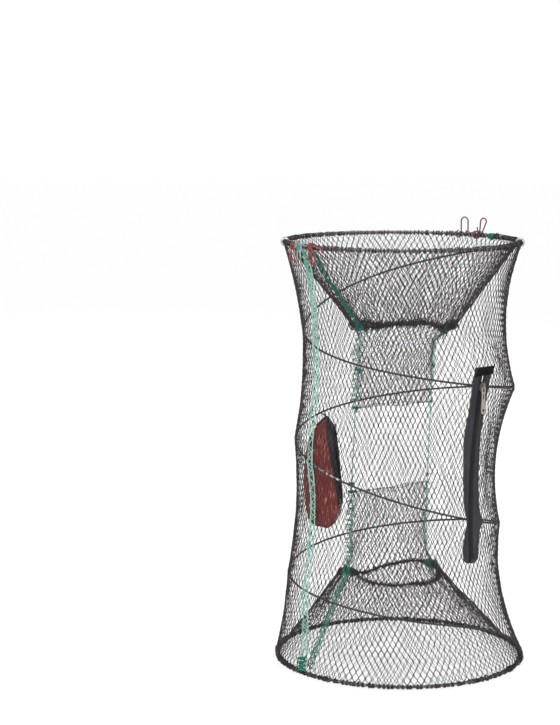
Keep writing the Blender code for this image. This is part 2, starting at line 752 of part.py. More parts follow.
def oval_outline(data, low, high, half_width, steps_per_end):
    """Adds a closed outline with round ends to a flat curve."""
    points = []
    for middle, start in ((high - half_width, 0.0), (low + half_width, math.pi)):
        for n in range(steps_per_end + 1):
            turn = start + math.pi * n / steps_per_end
            points.append((half_width * math.cos(turn), middle + half_width * math.sin(turn)))
    spline = data.splines.new("POLY")
    spline.points.add(len(points) - 1)
    for n, (x, y) in enumerate(points):
        spline.points[n].co = (x, y, 0.0, 1.0)
    spline.use_cyclic_u = True


def make_pull():
    """The pull hangs plumb from the crossbar that runs through the slider's bail."""
    top = GAP + CHAIN_THICKNESS + GAP + SLIDER_PLATE
    pin = slider_place() @ Vector((0.0, top + (BAIL_HEIGHT - BAIL_WIRE) / 2, 0.0))
    data = bpy.data.curves.new("zip_pull", "CURVE")
    data.dimensions = "2D"
    data.fill_mode = "BOTH"
    data.extrude = PULL_THICKNESS / 2
    rim = PULL_CROSSBAR / 2
    eye_low = -rim - PULL_EYE_LENGTH
    oval_outline(data, rim - PULL_LENGTH, rim, PULL_WIDTH / 2, 6)
    square_outline(data, eye_low, -rim, PULL_EYE_WIDTH / 2)
    hole_middle = rim - PULL_LENGTH + PULL_WIDTH / 2 + PULL_HOLE / 3
    oval_outline(data, hole_middle - PULL_HOLE / 2, hole_middle + PULL_HOLE / 2, PULL_HOLE / 2, 6)
    obj = link("zip_pull", data, zip_metal())
    upright = Matrix.Rotation(math.radians(90.0), 4, "X")
    obj.matrix_world = frame_at(ZIP_ANGLE, pin.xy.length, pin.z) @ upright


def square_outline(data, low, high, half_width):
    spline = data.splines.new("POLY")
    spline.points.add(3)
    corners = ((half_width, low), (half_width, high), (-half_width, high), (-half_width, low))
    for n, (x, y) in enumerate(corners):
        spline.points[n].co = (x, y, 0.0, 1.0)
    spline.use_cyclic_u = True


def pocket_seat(angle, height=POCKET_FOOT_HEIGHT + POCKET_HEIGHT):
    """The radius of the pocket's middle sheet where it lies against the netting, which carries its top."""
    netting = net_radius(angle, height)
    return netting - NET_BAR / 2 - GAP - POCKET_WALL - POCKET_LIP / 2 - POCKET_SLACK


def pocket_radius(angle):
    """The pocket hangs just inside the coil's pass behind it, and leans out above that."""
    middle = POCKET_FOOT_HEIGHT + POCKET_HEIGHT / 2
    coil, height = min(coil_passes(angle), key=lambda p: abs(p[1] - middle))
    lean = max(0.0, (height - POCKET_FOOT_HEIGHT) / POCKET_HEIGHT) ** POCKET_LEAN
    bulge = POCKET_LIP / 2 + POCKET_WALL + (POCKET_DEPTH - POCKET_LIP) * POCKET_BULGE_OUT
    free = coil - COIL_WIRE / 2 - GAP - bulge - POCKET_SLACK / 2
    return (free - pocket_seat(angle) * lean) / (1 - lean)


def pocket_place(across, up, out):
    """A point of the pocket: across and up in metres from its foot's middle, out from its middle sheet."""
    rise = min(1.0, max(0.0, up / POCKET_HEIGHT))
    angle = POCKET_ANGLE + math.degrees(across / POCKET_REACH)
    hung = pocket_radius(angle)
    radius = hung + (pocket_seat(angle) - hung) * rise**POCKET_LEAN
    bulge = (POCKET_DEPTH - POCKET_LIP) * POCKET_BULGE_OUT
    against = pocket_seat(angle, POCKET_FOOT_HEIGHT + up) - bulge
    return around(angle, min(radius, against) + out, POCKET_FOOT_HEIGHT + up)


def pocket_edge(sides, rise):
    """How far across one of the pocket's edges lies at a share of its height."""
    return read(sides, min(1.0, max(0.0, rise)) * (len(sides) - 1))


def make_pocket():
    """A flat pouch of fine red mesh, open along its right side, where two closure strips shut it."""
    shape = bmesh.new()
    bmesh.ops.create_cube(shape, size=2.0)
    along = [e for e in shape.edges if abs(e.verts[0].co.y - e.verts[1].co.y) < ZERO]
    bmesh.ops.subdivide_edges(shape, edges=along, cuts=5, use_grid_fill=True)
    mouth = [f for f in shape.faces if f.calc_center_median().x > 1 - ZERO]
    bmesh.ops.delete(shape, geom=mouth, context="FACES")
    for v in shape.verts:
        x, y, z = v.co
        middle = (1 - x**2) * (1 - z**2)
        share = 1 - POCKET_BULGE_OUT if y > 0 else POCKET_BULGE_OUT
        depth = POCKET_LIP / 2 + POCKET_WALL / 2 + (POCKET_DEPTH - POCKET_LIP) * middle * share
        peak = POCKET_PEAK * (1 - abs(x)) * max(0.0, 3 * z - 2)
        rise = (z + 1) / 2
        left, right = pocket_edge(POCKET_LEFT, rise), pocket_edge(POCKET_RIGHT, rise)
        across = left + (right - left) * (x + 1) / 2
        v.co = pocket_place(across, POCKET_HEIGHT * rise + peak, -y * depth)
    bmesh.ops.recalc_face_normals(shape, faces=shape.faces[:])
    obj = mesh_object("bait_pocket", shape, pocket_mesh())
    cloth = obj.modifiers.new("thickness", "SOLIDIFY")
    cloth.thickness = POCKET_WALL
    cloth.offset = 0.0
    cloth.use_even_offset = True


def make_closure(name, out):
    """A hook-and-loop strip between the lips of the pocket."""
    shape = bmesh.new()
    bmesh.ops.create_grid(shape, x_segments=2, y_segments=6, size=1.0)
    for v in shape.verts:
        rise = min(0.86, max(0.04, (v.co.y + 1) / 2))
        right = pocket_edge(POCKET_RIGHT, rise) - GAP
        across = right - CLOSURE_WIDTH * (1 - v.co.x) / 2
        v.co = pocket_place(across, POCKET_HEIGHT * rise, out)
    obj = mesh_object(name, shape, closure_cloth())
    cloth = obj.modifiers.new("thickness", "SOLIDIFY")
    cloth.thickness = CLOSURE_THICKNESS
    cloth.offset = 0.0


def hook_route():
    """A latch hook standing on a ring: one turn round the ring's hem, a leg, a round crook and a curl.

    X runs along the ring, Y outwards and Z up, from the middle of the ring's wire inside the turn.
    """
    eye = HEM_CORNER + GAP + EYE_PLAY + HOOK_WIRE / 2
    half = HOOK_WIDTH / 2 - HOOK_WIRE / 2
    pitch = HOOK_WIRE + 2 * GAP
    turns = [math.radians(-330.0 + 30.0 * n) for n in range(12)]
    leg = pitch / 2
    points = [
        Vector((leg + pitch * t / math.tau, eye * math.cos(t), eye * math.sin(t))) for t in turns
    ]
    crown = HOOK_HEIGHT - half
    for n in range(7):
        turn = math.pi - math.pi * n / 6
        points.append(Vector((leg + half + half * math.cos(turn), eye, crown + half * math.sin(turn))))
    foot = HOOK_HEIGHT - HOOK_RETURN
    curl = leg + 2 * half - HOOK_CURL
    for n in range(5):
        turn = -math.pi * n / 4
        points.append(Vector((curl + HOOK_CURL * math.cos(turn), eye, foot + HOOK_CURL * math.sin(turn))))
    return points


def ring_frame(angle, drop=0.0):
    """Axes on the top ring's wire, which runs straight between its points: X along it, Y outwards."""
    step = 360.0 / RING_POINTS
    middle = (angle // step + 0.5) * step
    radius = TOP_RING_RADIUS * math.cos(math.radians(step / 2)) / math.cos(math.radians(angle - middle))
    spin = Matrix.Rotation(math.radians(middle - 90.0), 4, "Z")
    return Matrix.Translation(around(angle, radius, TOP_RING_HEIGHT - drop)) @ spin


def make_hook(name, angle, hanging):
    """Rear hooks stand up on the ring, front ones have dropped over its outer side and hang."""
    place = ring_frame(angle)
    if hanging:
        place = place @ Matrix.Rotation(math.pi, 4, "Z") @ Matrix.Rotation(math.pi, 4, "X")
    points = [place @ p for p in hook_route()]
    obj = tube(name, points, HOOK_WIRE, hook_plastic())
    set_origin(obj, place.translation)


def make_whipping(name, angle):
    """A few turns of green cord round the ring's hem, where a hook cord is tied off."""
    reach = HEM_CORNER + GAP + LACING_CORD / 2
    pitch = LACING_CORD + GAP
    place = ring_frame(angle)
    count = 10 * WHIPPING_TURNS
    points = []
    for n in range(count + 1):
        turn = math.tau * n / 10
        along = pitch * (n / 10 - WHIPPING_TURNS / 2)
        points.append(place @ Vector((along, reach * math.cos(turn), reach * math.sin(turn))))
    tube(name, points, LACING_CORD, green_cord())


def make_sleeve(name, angle):
    """A short clear tube hung over the ring, slit along its underside."""
    bore, outside = SLEEVE_BORE / 2, SLEEVE_OUTSIDE / 2
    hang = bore - HEM_CORNER - 2 * GAP
    data = bpy.data.curves.new(name, "CURVE")
    data.dimensions = "2D"
    data.fill_mode = "BOTH"
    data.extrude = SLEEVE_LENGTH / 2
    start, end, count = SLEEVE_SLIT / 2 - 90.0, 270.0 - SLEEVE_SLIT / 2, 16
    turns = [math.radians(start + (end - start) * n / count) for n in range(count + 1)]
    points = [(outside * math.cos(t), outside * math.sin(t)) for t in turns]
    points += [(bore * math.cos(t), bore * math.sin(t)) for t in reversed(turns)]
    spline = data.splines.new("POLY")
    spline.points.add(len(points) - 1)
    for n, (x, y) in enumerate(points):
        spline.points[n].co = (x, y, 0.0, 1.0)
    spline.use_cyclic_u = True
    obj = link(name, data, clear_plastic())
    upright = Matrix.Rotation(math.radians(90.0), 4, "X")
    across = Matrix.Rotation(math.radians(90.0), 4, "Z")
    obj.matrix_world = ring_frame(angle, hang) @ across @ upright


def make_all():
    make_ring("bottom_ring", BOTTOM_RING_RADIUS, BOTTOM_RING_HEIGHT)
    make_hem("bottom_hem", BOTTOM_RING_RADIUS, BOTTOM_RING_HEIGHT)
    make_ring("top_ring", TOP_RING_RADIUS, TOP_RING_HEIGHT)
    make_hem("top_hem", TOP_RING_RADIUS, TOP_RING_HEIGHT)
    make_coil()
    make_outer_net()
    top = TOP_RING_RADIUS, TOP_RING_HEIGHT, TOP_MOUTH_HEIGHT, TOP_MOUTH_SHIFT
    bottom = BOTTOM_RING_RADIUS, BOTTOM_RING_HEIGHT, BOTTOM_MOUTH_HEIGHT, BOTTOM_MOUTH_SHIFT
    make_funnel("top_funnel_net", *top)
    make_funnel("bottom_funnel_net", *bottom)
    make_funnel_seam("top_funnel_lacing", *top)
    make_funnel_seam("bottom_funnel_lacing", *bottom)
    make_mouth_cord("top_mouth_cord", TOP_MOUTH_HEIGHT, TOP_MOUTH_SHIFT)
    make_mouth_cord("bottom_mouth_cord", BOTTOM_MOUTH_HEIGHT, BOTTOM_MOUTH_SHIFT)
    top = TOP_MOUTH_HEIGHT, TOP_SLOT_HEIGHT, TOP_MOUTH_SHIFT, TOP_SLOT_SHIFT
    bottom = BOTTOM_MOUTH_HEIGHT, BOTTOM_SLOT_HEIGHT, BOTTOM_MOUTH_SHIFT, BOTTOM_SLOT_SHIFT
    make_throat("top_throat_net", *top)
    make_throat("bottom_throat_net", *bottom)
    make_tie_cord("front_tie_cord", 0.0)
    make_tie_cord("rear_tie_cord", 1.0)
    make_side_seam()
    make_zip()
    make_slider()
    make_pull()
    make_pocket()
    lip = (CLOSURE_THICKNESS + GAP) / 2
    make_closure("pocket_hook_strip", lip)
    make_closure("pocket_loop_strip", -lip)
    for n, angle in enumerate(REAR_HOOK_ANGLES, 1):
        make_hook(f"rear_hook_{n}", angle, hanging=False)
    for n, angle in enumerate(FRONT_HOOK_ANGLES, 1):
        make_hook(f"front_hook_{n}", angle, hanging=True)
    make_whipping("front_whipping", FRONT_WHIPPING_ANGLE)
    make_whipping("rear_whipping", REAR_WHIPPING_ANGLE)
    for side, angle in zip(("left", "right"), SLEEVE_ANGLES):
        make_sleeve(f"{side}_sleeve", angle)


clear_scene()
PARTS = collection("fish_trap")
CUTTERS = collection("cutters")
make_all()
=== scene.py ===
"""Looks of the collapsible fish trap: netting, twine, cords, zip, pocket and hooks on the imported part."""

import math

import bmesh
import bpy
from mathutils import Matrix, Vector, noise
from mathutils.bvhtree import BVHTree


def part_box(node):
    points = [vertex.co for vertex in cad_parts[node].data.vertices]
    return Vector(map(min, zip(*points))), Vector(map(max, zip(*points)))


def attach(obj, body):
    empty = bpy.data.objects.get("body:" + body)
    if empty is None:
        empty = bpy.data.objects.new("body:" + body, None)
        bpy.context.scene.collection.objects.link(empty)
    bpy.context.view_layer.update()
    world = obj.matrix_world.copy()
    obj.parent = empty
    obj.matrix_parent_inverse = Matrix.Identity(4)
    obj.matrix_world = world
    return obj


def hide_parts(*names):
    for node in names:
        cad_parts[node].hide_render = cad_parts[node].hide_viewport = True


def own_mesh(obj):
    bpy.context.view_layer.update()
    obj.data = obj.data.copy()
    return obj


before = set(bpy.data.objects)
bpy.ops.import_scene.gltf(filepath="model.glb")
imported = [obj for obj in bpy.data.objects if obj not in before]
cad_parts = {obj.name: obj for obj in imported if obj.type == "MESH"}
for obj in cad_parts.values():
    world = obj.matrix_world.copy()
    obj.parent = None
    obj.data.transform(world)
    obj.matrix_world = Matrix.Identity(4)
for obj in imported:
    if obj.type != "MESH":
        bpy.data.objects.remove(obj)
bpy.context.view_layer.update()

# Camera, placed as the photograph's: well back from the trap, a little above it and tilted down to it.
# It stands straight in front and is turned a little to the left.
CAMERA_BACK, CAMERA_HEIGHT, CAMERA_DOWN, CAMERA_LEFT = 2.5505, 0.7409, 0.14, 0.0606
camera = bpy.data.objects.new("camera", bpy.data.cameras.new("camera"))
camera.data.lens = 100.08
camera.data.sensor_width = 36.0
camera.data.clip_end = 30.0
camera.location = (0.0, -CAMERA_BACK, CAMERA_HEIGHT)
camera.rotation_euler = (math.pi / 2 - CAMERA_DOWN, 0.0, CAMERA_LEFT)
scene = bpy.context.scene
scene.collection.objects.link(camera)
scene.camera = camera
scene.view_settings.view_transform = "Standard"
scene.cycles.transparent_max_bounces = 24
scene.cycles.max_bounces = 8


def linear(shade):
    """A colour written as six hexadecimal digits, as the linear values that nodes take."""
    channels = [int(shade[n : n + 2], 16) / 255 for n in (0, 2, 4)]
    return [c / 12.92 if c <= 0.04045 else ((c + 0.055) / 1.055) ** 2.4 for c in channels] + [1.0]


def add(tree, kind, inputs=None, **settings):
    """Adds one node. Each input is a value or another node's output."""
    made = tree.nodes.new(kind)
    for name, value in settings.items():
        setattr(made, name, value)
    for name, value in (inputs or {}).items():
        if isinstance(value, bpy.types.NodeSocket):
            tree.links.new(value, made.inputs[name])
        else:
            made.inputs[name].default_value = value
    return made


def combine(tree, operation, first, second=0.0):
    return add(tree, "ShaderNodeMath", {0: first, 1: second}, operation=operation).outputs[0]


def mixed(tree, share, first, second):
    """A colour between two others."""
    blend = add(tree, "ShaderNodeMix", {"Factor": share}, data_type="RGBA")
    for place, colour in ((6, first), (7, second)):
        if isinstance(colour, bpy.types.NodeSocket):
            tree.links.new(colour, blend.inputs[place])
        else:
            blend.inputs[place].default_value = colour
    return blend.outputs[2]


def rough(tree, size, detail=2.0):
    """Noise of a real size in metres, fixed to the trap."""
    spot = add(tree, "ShaderNodeTexCoord").outputs["Object"]
    return add(tree, "ShaderNodeTexNoise", {"Vector": spot, "Scale": 1 / size, "Detail": detail}).outputs[0]


def grain(size, detail=2.0):
    """Noise of a real size as a bump."""
    return lambda tree: rough(tree, size, detail)


def mottled(size, first, second, detail=2.0):
    """Two shades, in patches of a real size."""
    return lambda tree: mixed(tree, rough(tree, size, detail), linear(first), linear(second))


def ramp(tree, value, low, high, start=0.0, end=1.0):
    inputs = {"Value": value, "From Min": low, "From Max": high, "To Min": start, "To Max": end}
    return add(tree, "ShaderNodeMapRange", inputs).outputs[0]


def finish(name, colour_of, roughness, height_of=None, depth=0.0, **settings):
    """A material whose colour, roughness and bump come from functions of its node tree."""
    made = bpy.data.materials.new(name)
    made.use_nodes = True
    tree = made.node_tree
    surface = tree.nodes["Principled BSDF"]
    tree.links.new(colour_of(tree), surface.inputs["Base Color"])
    if callable(roughness):
        tree.links.new(roughness(tree), surface.inputs["Roughness"])
    else:
        surface.inputs["Roughness"].default_value = roughness
    if height_of:
        inputs = {"Height": height_of(tree), "Distance": depth, "Strength": 0.8}
        tree.links.new(add(tree, "ShaderNodeBump", inputs).outputs[0], surface.inputs["Normal"])
    for socket, value in settings.items():
        surface.inputs[socket.replace("_", " ")].default_value = value
    return made


# Room: a white floor and surround with soft light from all sides and a key light from the front left.
# The camera sees both as white, also through clear plastic, and the floor keeps the trap's shadow.
world = bpy.data.worlds.new("room")
scene.world = world
world.use_nodes = True
world.node_tree.nodes.clear()
path = add(world.node_tree, "ShaderNodeLightPath")
seen = combine(world.node_tree, "MAXIMUM", path.outputs["Is Camera Ray"], path.outputs["Is Transmission Ray"])
soft = add(world.node_tree, "ShaderNodeBackground", {"Color": linear("F6F6F6"), "Strength": 0.75})
plain = add(world.node_tree, "ShaderNodeBackground", {"Color": (1.0, 1.0, 1.0, 1.0), "Strength": 1.05})
both = add(world.node_tree, "ShaderNodeMixShader", {0: seen, 1: soft.outputs[0], 2: plain.outputs[0]})
add(world.node_tree, "ShaderNodeOutputWorld", {"Surface": both.outputs[0]})


def floor_colour(tree):
    path = add(tree, "ShaderNodeLightPath")
    return mixed(tree, path.outputs["Is Camera Ray"], linear("F0F0F0"), linear("9C9C9C"))


floor_finish = finish("floor", floor_colour, 0.9)
tree = floor_finish.node_tree
surface = tree.nodes["Principled BSDF"]
path = add(tree, "ShaderNodeLightPath")
surface.inputs["Emission Color"].default_value = (1.0, 1.0, 1.0, 1.0)
glow = combine(tree, "MULTIPLY", path.outputs["Is Camera Ray"], 0.72)
tree.links.new(glow, surface.inputs["Emission Strength"])
sheet = bpy.data.meshes.new("floor")
sheet.from_pydata([(-12, -12, 0), (12, -12, 0), (12, 12, 0), (-12, 12, 0)], [], [(0, 1, 2, 3)])
sheet.materials.append(floor_finish)
floor = bpy.data.objects.new("floor", sheet)
scene.collection.objects.link(floor)

for name, place, power, size in (
    ("key", (-1.5, -2.4, 2.3), 42.0, 1.4),
    ("fill", (2.2, -1.6, 1.4), 16.0, 1.8),
    ("rim", (0.6, 2.2, 1.9), 18.0, 1.6),
):
    lamp = bpy.data.objects.new(name, bpy.data.lights.new(name, "AREA"))
    lamp.data.energy = power
    lamp.data.size = size
    lamp.location = place
    aim = Vector((0.0, 0.0, 0.27)) - lamp.location
    lamp.rotation_euler = aim.to_track_quat("-Z", "Y").to_euler()
    scene.collection.objects.link(lamp)


# Twine: every cord, wire and net is a mesh of bare lines, which one modifier turns into round twine.
# The modifier works after any flattening, so twine keeps its thickness when the trap is folded.
def twine_group():
    group = bpy.data.node_groups.new("twine", "GeometryNodeTree")
    kinds = (("Geometry", "Geometry"), ("Width", "Float"), ("Sides", "Int"), ("Finish", "Material"))
    for name, kind in kinds:
        group.interface.new_socket(name, in_out="INPUT", socket_type=f"NodeSocket{kind}")
    group.interface.new_socket("Geometry", in_out="OUTPUT", socket_type="NodeSocketGeometry")
    start = add(group, "NodeGroupInput").outputs
    line = add(group, "GeometryNodeMeshToCurve", {"Mesh": start["Geometry"]}).outputs[0]
    length = add(group, "GeometryNodeSplineParameter").outputs["Length"]
    line = add(
        group, "GeometryNodeStoreNamedAttribute", {"Geometry": line, "Name": "along", "Value": length}
    ).outputs[0]
    round_line = add(group, "GeometryNodeCurvePrimitiveCircle", {"Resolution": start["Sides"], "Radius": 0.5})
    spot = add(group, "GeometryNodeInputPosition").outputs[0]
    section = add(group, "GeometryNodeStoreNamedAttribute", data_type="FLOAT_VECTOR")
    group.links.new(round_line.outputs["Curve"], section.inputs["Geometry"])
    section.inputs["Name"].default_value = "ring"
    group.links.new(spot, section.inputs["Value"])
    thick = add(group, "GeometryNodeInputNamedAttribute", {"Name": "thick"}, data_type="FLOAT").outputs[0]
    scale = add(group, "ShaderNodeMath", {0: start["Width"], 1: thick}, operation="MULTIPLY").outputs[0]
    inputs = {"Curve": line, "Profile Curve": section.outputs[0], "Scale": scale, "Fill Caps": True}
    tube = add(group, "GeometryNodeCurveToMesh", inputs).outputs[0]
    tube = add(group, "GeometryNodeSetShadeSmooth", {"Geometry": tube}).outputs[0]
    tube = add(group, "GeometryNodeSetMaterial", {"Geometry": tube, "Material": start["Finish"]}).outputs[0]
    add(group, "NodeGroupOutput", {"Geometry": tube})
    return group


TWINE = twine_group()
SOCKETS = {item.name: item.identifier for item in TWINE.interface.items_tree if item.in_out == "INPUT"}


def lines(name, routes, width, sides, finish, closed=False, thick=None):
    """A piece of twine or wire along each route; thick gives a share of the width at each point."""
    points, edges = [], []
    for route in routes:
        first = len(points)
        points += route
        edges += [(n, n + 1) for n in range(first, len(points) - 1)]
        if closed:
            edges.append((len(points) - 1, first))
    mesh = bpy.data.meshes.new(name)
    mesh.from_pydata(points, edges, [])
    share = mesh.attributes.new("thick", "FLOAT", "POINT")
    share.data.foreach_set("value", thick or [1.0] * len(points))
    mesh.materials.append(finish)
    obj = bpy.data.objects.new(name, mesh)
    scene.collection.objects.link(obj)
    made = obj.modifiers.new("twine", "NODES")
    made.node_group = TWINE
    made[SOCKETS["Width"]] = width
    made[SOCKETS["Sides"]] = sides
    made[SOCKETS["Finish"]] = finish
    return obj


def twisted(name, groove, crest, lay, plies, depth, roughness=0.8, worn=None):
    """Twisted twine: plies wind round the line once in each lay, and fibres roughen them."""

    def crown(tree):
        along = add(tree, "ShaderNodeAttribute", attribute_name="along").outputs["Fac"]
        ring = add(tree, "ShaderNodeAttribute", attribute_name="ring").outputs["Vector"]
        across = add(tree, "ShaderNodeSeparateXYZ", {"Vector": ring}).outputs
        turn = combine(tree, "ARCTAN2", across["Y"], across["X"])
        wound = combine(tree, "MULTIPLY", along, math.tau / lay)
        phase = combine(tree, "MULTIPLY", combine(tree, "ADD", wound, turn), plies / 2)
        return combine(tree, "ABSOLUTE", combine(tree, "SINE", phase))

    def colour_of(tree):
        fibre = combine(tree, "ADD", combine(tree, "MULTIPLY", rough(tree, 0.00025, 3.0), 0.7), 0.4)
        colour = mixed(tree, combine(tree, "MULTIPLY", crown(tree), fibre), linear(groove), linear(crest))
        if worn:
            colour = mixed(tree, ramp(tree, rough(tree, 0.012), 0.45, 0.75), colour, linear(worn))
        return colour

    def height_of(tree):
        return combine(tree, "ADD", crown(tree), combine(tree, "MULTIPLY", rough(tree, 0.00025, 3.0), 0.35))

    return finish(name, colour_of, roughness, height_of, depth, Specular_IOR_Level=0.3)


def around(angle, radius, height):
    turned = math.radians(angle)
    return Vector((radius * math.cos(turned), radius * math.sin(turned), height))


def spread(angle, middle, width):
    """1 at a middle azimuth, falling off on either side of it."""
    apart = abs((angle - middle + 180.0) % 360.0 - 180.0)
    return math.exp(-((apart / width) ** 2))


def uneven(place, seed):
    return noise.noise(Vector((place, seed, 0.37)))


def smooth(points, count, closed=False):
    """A smooth route through points, with count steps from each to the next."""
    if closed:
        ends = [points[-1], *points, points[0], points[1]]
    else:
        ends = [2 * points[0] - points[1], *points, 2 * points[-1] - points[-2]]
    route = []
    for a, b, c, d in zip(ends, ends[1:], ends[2:], ends[3:]):
        for n in range(count):
            t = n / count
            bend = (2 * a - 5 * b + 4 * c - d) * t * t + (3 * b - a - 3 * c + d) * t**3
            route.append(0.5 * (2 * b + (c - a) * t + bend))
    return route if closed else [*route, points[-1]]


def knot(at, along, size, spin=0.0):
    """An overhand knot tied round a cord that runs along: a trefoil, with its ends crossing and loose."""
    along = along.normalized()
    aside = along.orthogonal().normalized()
    aside.rotate(Matrix.Rotation(spin, 3, along))
    other = along.cross(aside)
    route = []
    for n in range(31):
        t = math.radians(-168.0 + 336.0 * n / 30)
        x, y, z = math.sin(t) + 2 * math.sin(2 * t), math.cos(t) - 2 * math.cos(2 * t), -math.sin(3 * t)
        route.append(at + size / 3 * (aside * x + other * y + along * z))
    first, last = (route[0] - route[1]).normalized(), (route[-1] - route[-2]).normalized()
    down = Vector((0.0, 0.0, -size))
    start = [route[0] + first * size * k + down * 0.25 * k * k for k in (1.6, 0.8)]
    end = [route[-1] + last * size * k + down * 0.3 * k * k for k in (0.9, 1.9)]
    return [*start, *route, *end]


# Twisted polyethylene twine: dull, with plies that show as slanting ridges and catch the light on their crowns.
# The cords are the same in green, which has faded in patches, most of all on the lacings.
black_twine = twisted("black_twine", "161315", "4B4548", 0.0030, 3, 0.00012, 0.75, "62595D")
green_cord = twisted("green_cord", "155246", "46A48F", 0.0050, 3, 0.00018, 0.7, "2C8472")
worn_cord = twisted("weathered_green_cord", "2F7566", "84C7B7", 0.0050, 3, 0.00018, 0.75, "A4D3C8")
pale_lacing = twisted("pale_green_lacing", "86C0B1", "CFEBE3", 0.0060, 2, 0.00015, 0.75, "6DB5A3")
faded_cord = twisted("faded_green_cord", "7FA8A3", "CBE2DD", 0.0050, 2, 0.00015, 0.75, "578A85")


# Rings and hems: each ring is one smooth galvanised wire. The netting's edge loops are threaded on it, and
# black twine is whipped round both in small, uneven bundles. The bottom hem is thicker and rests on the floor.
def wire_finish(name, dark, bright, painted_glint_span=None):
    """Drawn and plated wire, dulled in patches. It may carry a painted glint: near-white dashes on one stretch
    of its length that stand in for a highlight.
    """

    def wire_colour(tree):
        colour = mixed(tree, rough(tree, 0.004, 4.0), linear(dark), linear(bright))
        # Painted glint: near-white dashes along one stretch of the wire stand in for a highlight, not for worn
        # plating.
        if painted_glint_span:
            start, end = painted_glint_span
            along = add(tree, "ShaderNodeAttribute", attribute_name="along").outputs["Fac"]
            rise = ramp(tree, along, start - 0.004, start)
            fall = ramp(tree, along, end, end + 0.004, 1.0, 0.0)
            glint_dashes = ramp(tree, rough(tree, 0.003, 1.0), 0.42, 0.5)
            share = combine(tree, "MULTIPLY", combine(tree, "MULTIPLY", rise, fall), glint_dashes)
            colour = mixed(tree, share, colour, linear("F2F0EC"))
        return colour

    def wire_roughness(tree):
        return ramp(tree, rough(tree, 0.004, 4.0), 0.0, 1.0, 0.34, 0.58)

    return finish(name, wire_colour, wire_roughness, grain(0.0004), 0.00003, Metallic=0.6)


def rides(piece, body, slot, *nodes):
    """The piece moves with a body, and is shown instead of the nodes."""
    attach(piece, body)
    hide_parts(*nodes)


wire = wire_finish("galvanised_wire", "7C7A78", "AFACA8")
TOP_RADIUS, BOTTOM_RADIUS, RING_WIRE = 0.1482, 0.1577, 0.0030
TOP_HEIGHT = sum(corner.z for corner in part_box("top_ring")) / 2
BOTTOM_HEIGHT = sum(corner.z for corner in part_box("bottom_ring")) / 2
HEM_REACH, HEM_BULGE, HEM_TWINE = 0.0022, 0.0009, 0.0009


def on_hem(place, angle, turn, reach):
    """A point by a ring's wire: turn goes round the wire, reach is the distance from its middle."""
    radius, height = (TOP_RADIUS, TOP_HEIGHT) if place == "top" else (BOTTOM_RADIUS, BOTTOM_HEIGHT)
    out = reach * math.cos(math.radians(turn))
    return around(angle, radius + out, height + reach * math.sin(math.radians(turn)))


def beads(place, count, turns, wide, ragged, seed):
    """Twine whipped round a ring in small bundles, with one long stride along the wire after each.

    Each bundle has some turns and is some degrees wide. No twine goes into the floor.
    """
    whip, winds = [], 12 * turns
    for n in range(count):
        start, step = 360.0 * n / count, 360.0 / count
        big = 1 + ragged * uneven(n * 0.73, seed)
        start += 0.7 * step * uneven(n * 1.37, seed + 2)
        for k in range(winds + 5):
            inside = min(1.0, k / winds)
            stride = max(0, k - winds) / 5
            angle = start + wide * inside + (step - wide) * stride
            reach = HEM_REACH + HEM_BULGE * big * math.sin(math.pi * inside) * (1 - stride)
            at = on_hem(place, angle, -30.0 * k - 42.0 * max(0, k - winds), reach)
            at.z = max(at.z, 0.55 * HEM_TWINE)
            whip.append(at)
    return whip


for place, body, count, turns, wide, ragged, strands in (
    ("top", "top_ring", 190, 2, 0.50, 1.2, 1),
    ("bottom", "base", 170, 3, 0.90, 2.6, 2),
):
    radius = TOP_RADIUS if place == "top" else BOTTOM_RADIUS
    circle = [on_hem(place, n * 1.5, 0.0, 0.0) for n in range(240)]
    ring = lines(f"{place}_ring_wire", [circle], RING_WIRE, 12, wire, closed=True)
    rides(ring, body, "galvanised_wire", f"{place}_ring")
    whip = beads(place, count, turns, wide, ragged, radius)
    hem = lines(f"{place}_hem_whipping", [whip], HEM_TWINE, 6, black_twine, closed=True)
    edge = []
    for n in range(strands):
        route = []
        for k in range(300):
            sway = 60.0 * uneven(k * 0.23, n * 3.7 + radius)
            route.append(on_hem(place, k * 1.2, n * 90.0 + 14.0 + sway, 0.0018))
        edge.append(route)
    selvedge = lines(f"{place}_hem_selvedge", edge, 0.0006, 5, black_twine, closed=True)
    for piece in (hem, selvedge):
        rides(piece, body, "black_twine", f"{place}_hem")

# Coil spring: one smooth left-handed wire of dark plated spring steel, with a painted glint of near-white
# dashes in front of the pocket.
# Its ends are tied in under the rings, and the netting draws its turns to uneven widths and heights.
# The route gives the turn, the radius and the share of the height.
COIL_WIRE, COIL_TURNS, COIL_SEAT = 0.0025, 3.0, 0.00435
COIL_ROUTE = (
    (0.00, 0.1485, 1.000),
    (0.10, 0.1440, 0.980),
    (0.25, 0.1340, 0.923),
    (0.50, 0.1240, 0.798),
    (0.87, 0.1395, 0.687),
    (1.00, 0.1430, 0.655),
    (1.25, 0.1400, 0.598),
    (1.50, 0.1340, 0.525),
    (1.87, 0.1240, 0.364),
    (2.00, 0.1265, 0.320),
    (2.50, 0.1420, 0.200),
    (2.63, 0.1460, 0.178),
    (2.76, 0.1490, 0.147),
    (2.85, 0.1515, 0.118),
    (2.92, 0.1545, 0.074),
    (3.00, 0.1580, 0.000),
)


def between(turn, part):
    """The coil's radius (part 1) or share of the height (part 2) at a turn, smooth from key to key."""
    keys = [(k[0], k[part]) for k in COIL_ROUTE]
    last = len(keys) - 2
    n = min(last, max(0, sum(1 for k in keys if k[0] <= turn) - 1))

    def slope(at):
        if at in (0, last + 1):
            return 0.0
        return (keys[at + 1][1] - keys[at - 1][1]) / (keys[at + 1][0] - keys[at - 1][0])

    (x0, y0), (x1, y1) = keys[n], keys[n + 1]
    step = x1 - x0
    f = (turn - x0) / step
    start = (2 * f**3 - 3 * f**2 + 1) * y0 + (f**3 - 2 * f**2 + f) * step * slope(n)
    return start + (3 * f**2 - 2 * f**3) * y1 + (f**3 - f**2) * step * slope(n + 1)


